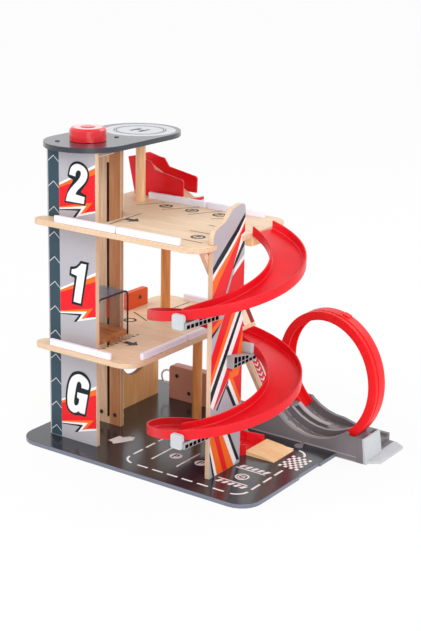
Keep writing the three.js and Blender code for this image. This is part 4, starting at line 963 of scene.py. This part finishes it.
# Lines between the stripes of the upright's print, each from its left end to its right end
CREST_LINES = (
    [(-3.6, 373), (12.9, 388.7), (29.7, 402), (46.6, 415.4), (64.5, 428.8), (79.4, 442.9), (93, 453.8)],
    [(-3.3, 362.9), (27.4, 385.7), (44.3, 399), (59.9, 412.8), (75.6, 426.7), (88.4, 441.2), (93, 446)],
    [(-3, 351.9), (15, 369), (34.7, 384.1), (51.7, 397.5), (67.3, 411.3), (81.6, 425.5), (93, 439.5)],
    [(-2.1, 324.7), (10.3, 338.8), (21.3, 354.1), (46.4, 381.7), (59.1, 396), (73.3, 410.1), (83.2, 424.4),
     (93, 435)],
    [(39.7, 326.9), (50.6, 348.4), (62.9, 374.8), (72.5, 393.3), (79.3, 408.9), (82, 416.9), (93, 421.2)],
    [(57.4, 363.8), (67.1, 380.7), (78.4, 394.6), (88.4, 407.1), (93, 409.6)],
    [(61.8, 363.8), (74.7, 377.4), (84.6, 390.8), (93, 399.4)],
)
CREST_INKS = ("ink_dark", "ink_white", "ink_orange", "ink_red", "ink_white", "ink_dark")
RISING_LINES = (
    [(-3.1, 218.7), (40.8, 297.3)],
    [(-2.1, 185.3), (61.7, 292.2)],
    [(-1.6, 169.4), (72.3, 289.7)],
    [(-1.4, 160.5), (81.5, 287.4)],
    [(-0.7, 139.1), (89.1, 285.6)],
    [(8.3, 131), (93, 268.9)],
    [(11.3, 130.1), (50, 171), (74.4, 200.7), (88, 241.6), (93, 256)],
)
RISING_INKS = ("ink_red", "ink_orange", "ink_white", "ink_dark", "ink_white", "ink_red")
LEANING_LINES = (
    [(68.5, 119.6), (45.8, 158.9)],
    [(77.8, 118.5), (51.7, 162.5)],
    [(87.1, 117.5), (54.3, 174.3)],
    [(93, 122), (56.8, 187.8)],
    [(110, 122), (93, 205)],
)
LEANING_INKS = ("ink_dark", "ink_white", "ink_orange", "ink_red")
FOOT_LINES = (
    [(10.8, 5.6), (-4.5, 70.8)],
    [(16.8, 5.3), (-6.3, 82.1)],
    [(24.2, 6.3), (-3.4, 84.8)],
    [(42.4, 5.3), (9.7, 87.6)],
    [(54.4, 8.5), (24.6, 82.7)],
    [(74.5, 8.9), (35.1, 83)],
    [(82, 15.7), (47.1, 82.7)],
    [(91.4, 14.3), (54.7, 82)],
)
FOOT_INKS = ("ink_dark", "ink_white", "ink_orange", "ink_red", "ink_orange", "ink_white", "ink_dark")
UPRIGHT_WEDGES = (
    ("ink_red", [(-1.7, 274), (33, 290), (40, 330), (-1.7, 330)]),
    ("ink_orange", [(-1.7, 263), (29.7, 280), (33, 290), (-1.7, 274)]),
    ("ink_dark", [(29.7, 280), (15.5, 267.4), (-1.5, 256), (-1.7, 263)]),
    ("ink_white", [(64.8, 365), (93, 383.6), (93, 375), (57.9, 351.9)]),
    ("ink_red", [(57.9, 351.9), (93, 375), (93, 320), (44, 320), (46, 328)]),
    ("ink_orange", [(51.4, 172.5), (74.8, 200.5), (88.4, 241.6), (93, 255), (93, 205), (89.9, 196.4),
                    (81.7, 171.7)]),
    ("ink_dark", [(17.2, 128.2), (50.5, 170.5), (51.5, 167.9), (20.2, 125.5)]),
)


def print_upright():
    face = Vector((upright_high.x, upright_low.y, 0))
    plane = Plane("upright", face, Y_AXIS, Z_AXIS, slot="printed_panel")
    right = (upright_high.y - upright_low.y) / MM - UPRIGHT_SIDE_MARGIN
    limits = (UPRIGHT_SIDE_MARGIN, board_high.z / MM + UPRIGHT_FOOT_MARGIN, right, upright_high.z / MM)
    groups = (
        (CREST_LINES, CREST_INKS),
        (RISING_LINES, RISING_INKS),
        (LEANING_LINES, LEANING_INKS),
        (FOOT_LINES, FOOT_INKS),
    )
    layers = []
    for lines, inks in groups:
        layers.append([(ink, lines[index] + lines[index + 1][::-1]) for index, ink in enumerate(inks)])
    layers.append(UPRIGHT_WEDGES)
    for layer, shapes in enumerate(layers):
        for ink in sorted({ink for ink, _ in shapes}):
            pieces = [clipped(shape, *limits) for name, shape in shapes if name == ink]
            plane.ink(ink, [shape for shape in pieces if len(shape) > 2], layer)


# Print on the brace: a red strip with pale arrows, a cream field and a dark border

BRACE_TOP_FRONT = 37
BRACE_SLOPE = 1.55
BRACE_STRIPES = (
    ("ink_white", 8.6, 10.6),
    ("ink_red", 10.6, 29),
    ("ink_white", 29, 31),
    ("ink_cream", 31, 49),
    ("ink_maroon", 49, 60.4),
)
BRACE_LEGS = ((84, 198), (250, 402))
BRACE_ARROW_SPANS = ((92, 192), (258, 396))
BRACE_ARROW_PITCH = 11
# An arrow as insets and rises from its own height on the brace's front edge
BRACE_ARROW = ((13, 0), (19, -5), (25, 0), (25, 4), (19, -1), (13, 4))


def print_brace():
    _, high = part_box("diagonal_brace")
    plane = Plane("brace", Vector((high.x, CORNER.y, 0)), Y_AXIS, Z_AXIS, slot="birch")
    deck_2_bottom = high.z / MM

    def leaned(shape):
        """A shape of (inset, height) moved along with the brace's slanting front edge."""
        return [(BRACE_TOP_FRONT + (deck_2_bottom - v) / BRACE_SLOPE + u, v) for u, v in shape]

    for ink, start, end in BRACE_STRIPES:
        plane.ink(ink, [leaned(box_shape(start, bottom, end, top)) for bottom, top in BRACE_LEGS])
    arrows = []
    for bottom, top in BRACE_ARROW_SPANS:
        arrows += [leaned(moved(BRACE_ARROW, 0, height)) for height in range(bottom, top, BRACE_ARROW_PITCH)]
    plane.ink("ink_white", arrows, 1)


# Road marks on the board, in millimetres from its front left corner

ROAD_LINE = 4.0
ROAD_LEFT = 218
ROAD_RIGHT = 465
ROAD_NEAR = 31
ROAD_FAR = 253
ROAD_CORNER = 24
# Where the dashes of the road's sides start, and their length
SIDE_DASHES = ((64, 100, 136), 26)
NEAR_DASHES = ((252, 284, 315, 346, 378, 410), 22)
FAR_DASHES = ((373, 407), 24)
# The road's round corners: centre, first and last angle
ROAD_ARCS = (
    (ROAD_LEFT + ROAD_CORNER, ROAD_NEAR + ROAD_CORNER, 185, 262),
    (ROAD_RIGHT - ROAD_CORNER, ROAD_NEAR + ROAD_CORNER, 278, 355),
    (ROAD_RIGHT - ROAD_CORNER, ROAD_FAR - ROAD_CORNER, 10, 85),
)
# Lines beside the bays: both ends and the width
BAY_LINES = (
    ((256, 66), (256, 134), 3.5),
    ((310, 65), (310, 137), 3.5),
    ((392, 73), (451, 73), 3),
    ((392, 127), (451, 127), 3),
)
HATCH_START = 395
HATCH_PITCH = 12
HATCH_COUNT = 5
HATCH_ROWS = (58, 131)
HATCH_BAR = ((0, 0), (7, 0), (12, 11), (5, 11))
BOARD_BAYS = ((282.6, 101.6), (335.1, 103.2))
BOARD_BAY_RADIUS = 11.5
# Height of the letters, and how much their strokes are fattened
BOARD_LETTER = (14, 0.02)
# The round sign: its ring, and the arc and the bar in it
SIGN_RING = (424, 98, 11, 3)
SIGN_ARC = (423, 97, 5.5, 2.2, 120, 380)
SIGN_BAR = ((421, 99), (428, 104), 2.4)
BOARD_ARROW = [
    (143, 86), (147, 114), (156, 112), (164, 122), (174, 125), (179, 113), (171, 95), (160, 78), (154, 84)
]
CHECK_CORNER = (446, 176)
CHECK_WIDTH = 5.6
CHECK_DEPTH = 7.5
CHECK_COUNT = 7


def print_board():
    corner = Vector((board_low.x, board_low.y, board_high.z))
    plane = Plane("board", corner, X_AXIS, Y_AXIS, slot="dark_board")
    starts, length = SIDE_DASHES
    dashes = [line_shape((u, v), (u, v + length), ROAD_LINE) for u in (ROAD_LEFT, ROAD_RIGHT) for v in starts]
    for v, (starts, length) in ((ROAD_NEAR, NEAR_DASHES), (ROAD_FAR, FAR_DASHES)):
        dashes += [line_shape((u, v), (u + length, v), ROAD_LINE) for u in starts]
    dashes += [arc_shape(u, v, ROAD_CORNER, ROAD_LINE, start, end) for u, v, start, end in ROAD_ARCS]
    dashes += [line_shape(*row) for row in BAY_LINES]
    plane.ink("ink_bright", dashes)
    starts = [HATCH_START + index * HATCH_PITCH for index in range(HATCH_COUNT)]
    plane.ink("ink_bright", [moved(HATCH_BAR, start, row) for start in starts for row in HATCH_ROWS])
    plane.ink("ink_bright", [disc_shape(u, v, BOARD_BAY_RADIUS) for u, v in BOARD_BAYS])
    for place in BOARD_BAYS:
        plane.text("ink_dark", "P", place, *BOARD_LETTER, 1)
    plane.ink("ink_bright", ring_shapes(*SIGN_RING) + [arc_shape(*SIGN_ARC), line_shape(*SIGN_BAR)])
    plane.ink("ink_bright", [BOARD_ARROW])
    checks = []
    for row in range(CHECK_COUNT):
        for column in range(row % 2, CHECK_COUNT, 2):
            u = CHECK_CORNER[0] + column * CHECK_WIDTH
            v = CHECK_CORNER[1] + row * CHECK_DEPTH
            checks.append(box_shape(u, v, u + CHECK_WIDTH, v + CHECK_DEPTH))
    plane.ink("ink_bright", checks)


# Marks on the decks, in millimetres from the board's front left corner

DECK_BAYS = ((155.5, 237.5), (212.9, 237.7), (271, 239.6), (333.3, 86.1))
DECK_1_BAY = (88.5, 218.4)
# Radius and width of the rings, then height and fattening of the letters in them
BAY_RING = (10.5, 4.5)
DECK_LETTER = (11, 0.05)
DECK_LINE = 2.6
DECK_2_LINES = (
    ((163.8, 66.4), (156.8, 161.9)),
    ((108.5, 209.7), (136.9, 259.4)),
    ((166.7, 210.3), (213, 276)),
    ((225.6, 207.8), (262, 278)),
    ((276, 206), (297, 232)),
    ((297, 114.2), (337, 115.3)),
    ((320.6, 58.8), (363.2, 57)),
    ((299.4, 166.5), (319.5, 164.3)),
)
DECK_1_LINES = (((63.5, 262.6), (117.2, 233)), ((107, 322), (109, 380)))
DECK_2_ARROW = [(160, 107), (175, 107), (175, 98), (190, 113), (175, 128), (175, 119), (160, 119)]
DECK_1_ARROW = [(160, 105), (175, 105), (175, 97), (190, 111), (175, 126), (175, 117), (160, 117)]
STRIPE_START = (151.5, 56)
STRIPE_PITCH = 12
STRIPE_COUNT = 9
STRIPE_BAR = ((0, 0), (4.5, 4), (4.5, 10), (0, 6))


def print_decks():
    _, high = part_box("deck_2")
    plane = Plane("deck_2", Vector((CORNER.x, CORNER.y, high.z)), X_AXIS, Y_AXIS, slot="birch")
    plane.ink("black_ink_and_painted_shade", [line_shape(*ends, DECK_LINE) for ends in DECK_2_LINES])
    plane.ink("black_ink_and_painted_shade", [arc for place in DECK_BAYS for arc in ring_shapes(*place, *BAY_RING)])
    for place in DECK_BAYS:
        plane.text("black_ink_and_painted_shade", "P", place, *DECK_LETTER)
    plane.ink("black_ink_and_painted_shade", [DECK_2_ARROW])

    _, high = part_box("deck_1")
    plane = Plane("deck_1", Vector((CORNER.x, CORNER.y, high.z)), X_AXIS, Y_AXIS, slot="birch")
    starts = [STRIPE_START[1] + index * STRIPE_PITCH for index in range(STRIPE_COUNT)]
    plane.ink("black_ink_and_painted_shade", [moved(STRIPE_BAR, STRIPE_START[0], start) for start in starts])
    plane.ink("black_ink_and_painted_shade", [DECK_1_ARROW])
    plane.ink("black_ink_and_painted_shade", [line_shape(*ends, DECK_LINE) for ends in DECK_1_LINES])
    plane.ink("black_ink_and_painted_shade", ring_shapes(*DECK_1_BAY, *BAY_RING))


# Landing pad on the roof, and a painted reflection on the knob's glossy top: a pale ring round a rose centre

PAD_CENTRE = (96, 237)
PAD_RADIUS = 65
PAD_STEPS = 72
PAD_RINGS = (43, 47)
PAD_RING_WIDTH = 1.8
PAD_LETTER = (28, 0.03)
QUARTERS = 4
QUARTER_STEPS = 18
KNOB_REFLECTION_DEPTH = 1.5 * MM
KNOB_REFLECTION_RING = (19.5, 11)
KNOB_REFLECTION_DISC = 13.5


def print_roof_and_knob_reflection():
    _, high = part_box("roof_plate")
    plane = Plane("roof", Vector((CORNER.x, CORNER.y, high.z)), X_AXIS, Y_AXIS, slot="dark_board")
    plane.ink("ink_pale", [disc_shape(*PAD_CENTRE, PAD_RADIUS, PAD_STEPS)])
    rings = []
    for radius in PAD_RINGS:
        rings += ring_shapes(*PAD_CENTRE, radius, PAD_RING_WIDTH, QUARTERS, QUARTER_STEPS)
    plane.ink("ink_slate", rings, 1)
    plane.text("ink_slate", "H", PAD_CENTRE, *PAD_LETTER, 1)
    low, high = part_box("lift_knob")
    middle = (low + high) / 2
    top = Vector((middle.x, middle.y, high.z - KNOB_REFLECTION_DEPTH))
    # The pale ring and the rose disc are a painted reflection on the knob's glossy top
    knob = Plane("knob", top, X_AXIS, Y_AXIS, "knob", "red_plastic")
    knob.ink("knob_reflection_blush", ring_shapes(0, 0, *KNOB_REFLECTION_RING, QUARTERS, QUARTER_STEPS))
    knob.ink("knob_reflection_rose", [disc_shape(0, 0, KNOB_REFLECTION_DISC)])


# Painted shade in the far wall's slot: a dark brown sheet on its inner face, which lies in shade; and a dark
# layer on the wall's right edge

SLOT_FACE_GAP = 0.25 * MM
SLOT_SIDE_MARGIN = 0.2
SLOT_BOTTOM = 21
END_MARGIN = 0.5
EDGE_LAYER = (3.2, 5.4)


def paint_slot_shade_and_edge_layer():
    low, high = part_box("tower_far_wall")
    stop_low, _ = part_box("slot_stop")
    # The dark brown sheet on the slot's inner face is painted shade
    plane = Plane("slot", Vector((stop_low.x - SLOT_FACE_GAP, low.y, 0)), Y_AXIS, Z_AXIS, slot="birch")
    right = (high.y - low.y) / MM - SLOT_SIDE_MARGIN
    plane.ink("slot_painted_shade", [box_shape(SLOT_SIDE_MARGIN, SLOT_BOTTOM, right, stop_low.z / MM - END_MARGIN)])
    edge = Plane("far_wall_edge", Vector((high.x, low.y, 0)), Y_AXIS, Z_AXIS, slot="birch")
    bottom = board_high.z / MM + END_MARGIN
    edge.ink("umber_edge_layer_and_window_shade", [box_shape(EDGE_LAYER[0], bottom, EDGE_LAYER[1], high.z / MM - END_MARGIN)])


# Open cells between the ribs of the arms under the track, cut into each arm's outer side; their black inner
# faces are painted shade

CELL = 9.0
CELL_PITCH = 11.4
CELL_EDGE = 1.3
CELL_INSET = 1
CELL_LEAST = 2.5
CELL_DEPTH = 5 * MM
CELL_OVERRUN = 1 * MM
# Arms 1 and 2: how far the underside slants, and the height of the lower row
ARM_SLANT = 6
LOW_ROW = 6.6
# Arm 3: the height of the lower row, and how far its top falls over its sloping length
THIRD_LOW_ROW = 5.4
THIRD_FALL = 10
THIRD_SLOPE = 56


def arm_cells(low, high, third):
    """Outlines of (along, height) in millimetres: a lower row of cells, and an upper one where it fits."""
    length = (high.y - low.y) / MM
    bottom = low.z / MM
    top = high.z / MM
    row = CELL_EDGE + (THIRD_LOW_ROW if third else LOW_ROW)

    def under(u):
        return bottom if third else bottom + ARM_SLANT * (1 - u / length)

    def over(u):
        return top - THIRD_FALL * u / THIRD_SLOPE if third else top

    cells = []
    for index in range(int((length - 2 * CELL_EDGE) / CELL_PITCH)):
        u0 = CELL_EDGE + CELL_INSET + index * CELL_PITCH
        u1 = u0 + CELL
        cells.append([
            (u0, under(u0) + CELL_EDGE),
            (u1, under(u1) + CELL_EDGE),
            (u1, under(u1) + row),
            (u0, under(u0) + row),
        ])
        base = under(u0) + row + CELL_EDGE
        if over(u1) - CELL_EDGE - base > CELL_LEAST and (not third or u1 < THIRD_SLOPE):
            cells.append([(u0, base), (u1, base), (u1, over(u1) - CELL_EDGE), (u0, over(u0) - CELL_EDGE)])
    return cells


def carve(node, x, cells):
    """Cuts cells of (y, z) into the arm's side at x; their inner faces are painted black as shade."""
    shifts = (-CELL_DEPTH, CELL_OVERRUN)
    pairs = [[[Vector((x + shift, y, z)) for y, z in cell] for shift in shifts] for cell in cells]
    mesh = prisms(f"{node}_cells", pairs)
    # Black on the cells' cut faces is painted shade
    mesh.materials.append(MATERIALS["black_ink_and_painted_shade"])
    cutter = placed(mesh.name, mesh)
    arm = bpy.data.objects[f"{node}_finish"]
    cut = arm.modifiers.new("cells", "BOOLEAN")
    cut.operation = "DIFFERENCE"
    cut.solver = "EXACT"
    cut.material_mode = "TRANSFER"
    cut.object = cutter
    bpy.context.view_layer.update()
    evaluated = arm.evaluated_get(bpy.context.evaluated_depsgraph_get())
    carved = bpy.data.meshes.new_from_object(evaluated)
    arm.modifiers.clear()
    arm.data = carved
    bpy.data.objects.remove(cutter)


def carve_arms():
    for node in ("support_arm_1", "support_arm_2", "support_arm_3"):
        low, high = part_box(node)
        cells = arm_cells(low, high, node.endswith("3"))
        carve(node, high.x, [[(low.y + u * MM, v * MM) for u, v in cell] for cell in cells])


# Navy rims on both ends of the cabin's cover

COVER_SKIN = 3 * MM
COVER_CORNER = 11 * MM
COVER_CORNER_STEPS = 8
RIM_HALF = 0.7 * MM
RIM_PROUD = 0.1 * MM


def make_cover_rims():
    low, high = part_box("lift_cover")
    reach = COVER_CORNER - COVER_SKIN / 2
    y0 = low.y + COVER_SKIN / 2
    y1 = high.y - COVER_SKIN / 2
    centre_z = high.z - COVER_SKIN / 2 - reach
    path = [(y0, low.z, 180)]
    for centre_y, first in ((y0 + reach, 180), (y1 - reach, 90)):
        for turn in spread(first, first - 90, COVER_CORNER_STEPS):
            angle = math.radians(turn)
            path.append((centre_y + reach * math.cos(angle), centre_z + reach * math.sin(angle), turn))
    path.append((y1, low.z, 0))
    wide = COVER_SKIN / 2 + RIM_PROUD
    profile = box_shape(-wide, -RIM_HALF, wide, RIM_HALF)
    for name, x in (("right", high.x), ("left", low.x)):
        frames = []
        for y, z, turn in path:
            across = Vector((0, math.cos(math.radians(turn)), math.sin(math.radians(turn))))
            frames.append((Vector((x, y, z)), across, X_AXIS))
        mesh = swept(f"cover_rim_{name}", profile, frames)
        new_piece(mesh.name, mesh, "ink_navy", "lift")


# Pale lines along the cradle's lanes, and painted shade as black strips in the slot between them

CRADLE_FRONT_INSET = 285 * MM
STRIP_STEPS = 40
STRIP_PROUD = 0.4 * MM
STRIP_SUNK = 0.3 * MM
# Name, material, radius, near and far edge as insets, first and last angle from the loop's lowest point
CRADLE_STRIPS = (
    ("near_rim", "rail", 102.5, 293, 295, -43, 35),
    ("near_rail_1", "rail", 115.5, 315, 319, -48, 28),
    ("near_rail_2", "rail", 115.5, 329.5, 332, -48, 28),
    ("ridge_line", "rail", 102.5, 334, 337, -43, 42),
    # The two black strips are painted shade in the slot between the lanes
    ("ridge_gap_shade", "black_ink_and_painted_shade", 102.5, 341, 344.9, -42, 3),
    ("far_ridge_gap_shade", "black_ink_and_painted_shade", 102.5, 344.9, 352, -41, -1),
    ("ridge_rail", "rail", 102.5, 355, 365, -43, -1),
    ("far_rail_1", "rail", 115.5, 379, 383, -30, -1),
    ("far_rail_2", "rail", 115.5, 391, 394, -30, -1),
)
# Lines on the cradle's front: the first one's start, the gap at the board's edge, and heights from and to
FRONT_LINE_START = 6
FRONT_LINE_GAP = 1
FRONT_LINE = (9, 11.5)
FRONT_LINE_BEYOND = (9, 10.5)
FOOT_LINE = (0.3, 1.8)


def make_cradle_strips():
    axis = Vector((LOOP_CENTRE.x, CORNER.y, LOOP_CENTRE.z))
    for name, material, radius, near, far, start, end in CRADLE_STRIPS:
        frames = [(axis, loop_outward(angle), Y_AXIS) for angle in spread(start, end, STRIP_STEPS)]
        profile = box_shape(radius * MM - STRIP_PROUD, near * MM, radius * MM + STRIP_SUNK, far * MM)
        mesh = swept(name, profile, frames)
        new_piece(name, mesh, material, "garage")
    low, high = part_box("loop_base")
    front = Vector((low.x, CORNER.y + CRADLE_FRONT_INSET, 0))
    plane = Plane("cradle", front, X_AXIS, Z_AXIS, slot=SLOT_OF["loop_base"])
    over_board = (board_high.x - low.x) / MM
    start = over_board + FRONT_LINE_GAP
    end = (high.x - low.x) / MM - FRONT_LINE_GAP
    front_line = box_shape(FRONT_LINE_START, FRONT_LINE[0], over_board, FRONT_LINE[1])
    plane.ink("rail", [front_line, box_shape(start, FRONT_LINE_BEYOND[0], end, FRONT_LINE_BEYOND[1])])
    plane.ink("rail", [box_shape(start, FOOT_LINE[0], end, FOOT_LINE[1])])


# End block of the cradle

END_SPLIT = (9.0, 14.0)
END_SPLIT_SNAP = 0.01 * MM
END_EDGE = 0.5 * MM


def make_end_block():
    """The cradle's grey runs on over the first part of the end block, down to a slanting line."""
    low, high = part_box("loop_end_block")
    mesh = frame["nodes"]["loop_end_block"].data.copy()
    lean = Vector((high.z - low.z, 0, (END_SPLIT[1] - END_SPLIT[0]) * MM)).normalized()
    origin = Vector((low.x + END_SPLIT[0] * MM, 0, high.z))
    with edited(mesh) as build:
        bmesh.ops.remove_doubles(build, verts=build.verts, dist=SAME_POINT)
        geometry = build.verts[:] + build.edges[:] + build.faces[:]
        bmesh.ops.bisect_plane(build, geom=geometry, plane_co=origin, plane_no=lean, dist=END_SPLIT_SNAP)
    smooth(mesh)
    finish = new_piece("loop_end_block_finish", mesh, "pale", "garage")
    mesh.materials.append(MATERIALS["grey"])
    for face in mesh.polygons:
        face.material_index = 1 if (face.center - origin).dot(lean) < 0 else 0
    rounded_edges(finish, END_EDGE)
    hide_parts("loop_end_block")


# Stop block on the lower deck

STOP_FRONT = 11 * MM
STOP_CORNER = 4 * MM
STOP_EDGE = 0.8 * MM
STOP_SMOOTH = 25


def make_stop_block():
    """A square block with a softly rounded top, whose front end lies behind the cabin."""
    low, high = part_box("deck_stop_block")
    y0 = low.y - STOP_FRONT
    centre_z = high.z - STOP_CORNER
    outline = [(y0, low.z), (high.y, low.z)]
    outline += arc_points(high.y - STOP_CORNER, centre_z, STOP_CORNER, 0, 90, ROUND_STEPS)
    outline += arc_points(y0 + STOP_CORNER, centre_z, STOP_CORNER, 90, 180, ROUND_STEPS)
    mesh = mesh_of("deck_stop_block_finish", along_x(low, high, outline), prism_faces(0, len(outline)))
    smooth(mesh, STOP_SMOOTH)
    piece = new_piece(mesh.name, mesh, "orange", "garage")
    rounded_edges(piece, STOP_EDGE)
    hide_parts("deck_stop_block")


# Painted shade on the inner face of the round window in the ground wall: a dark umber sleeve, as the hole's
# wall lies in shade

WINDOW_CENTRE = (258 * MM, 112 * MM)
WINDOW_RADIUS = 42.4 * MM
WINDOW_STEPS = 64


def make_window_shade():
    low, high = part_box("ground_wall")
    ring = disc_shape(CORNER.y + WINDOW_CENTRE[0], WINDOW_CENTRE[1], WINDOW_RADIUS, WINDOW_STEPS)
    mesh = mesh_of("window_painted_shade", along_x(low, high, ring), side_faces(0, len(ring)))
    smooth(mesh)
    # The umber sleeve is painted shade on the hole's inner wall
    new_piece(mesh.name, mesh, "umber_edge_layer_and_window_shade", "garage")


# Raised joint plate at the top of the loop

TAB_NEAR = 2 * MM
TAB_FAR = 15 * MM
TAB_RISE = 2 * MM
TAB_SUNK = 0.2 * MM
TAB_START = 170
TAB_STEPS = 8


def make_ring_tab():
    profile = box_shape(LOOP_OUTER - TAB_SUNK, TAB_NEAR, LOOP_OUTER + TAB_RISE, TAB_FAR)
    mesh = swept("ring_tab", profile, [loop_frame(TAB_START - step) for step in range(TAB_STEPS)])
    new_piece(mesh.name, mesh, "red_bright", "garage")


def main():
    make_camera()
    make_studio()
    dress_nodes()
    make_track()
    make_loop()
    print_panel()
    print_upright()
    print_brace()
    print_board()
    print_decks()
    print_roof_and_knob_reflection()
    paint_slot_shade_and_edge_layer()
    carve_arms()
    make_cover_rims()
    make_cradle_strips()
    make_end_block()
    make_stop_block()
    make_ring_tab()
    make_window_shade()


main()
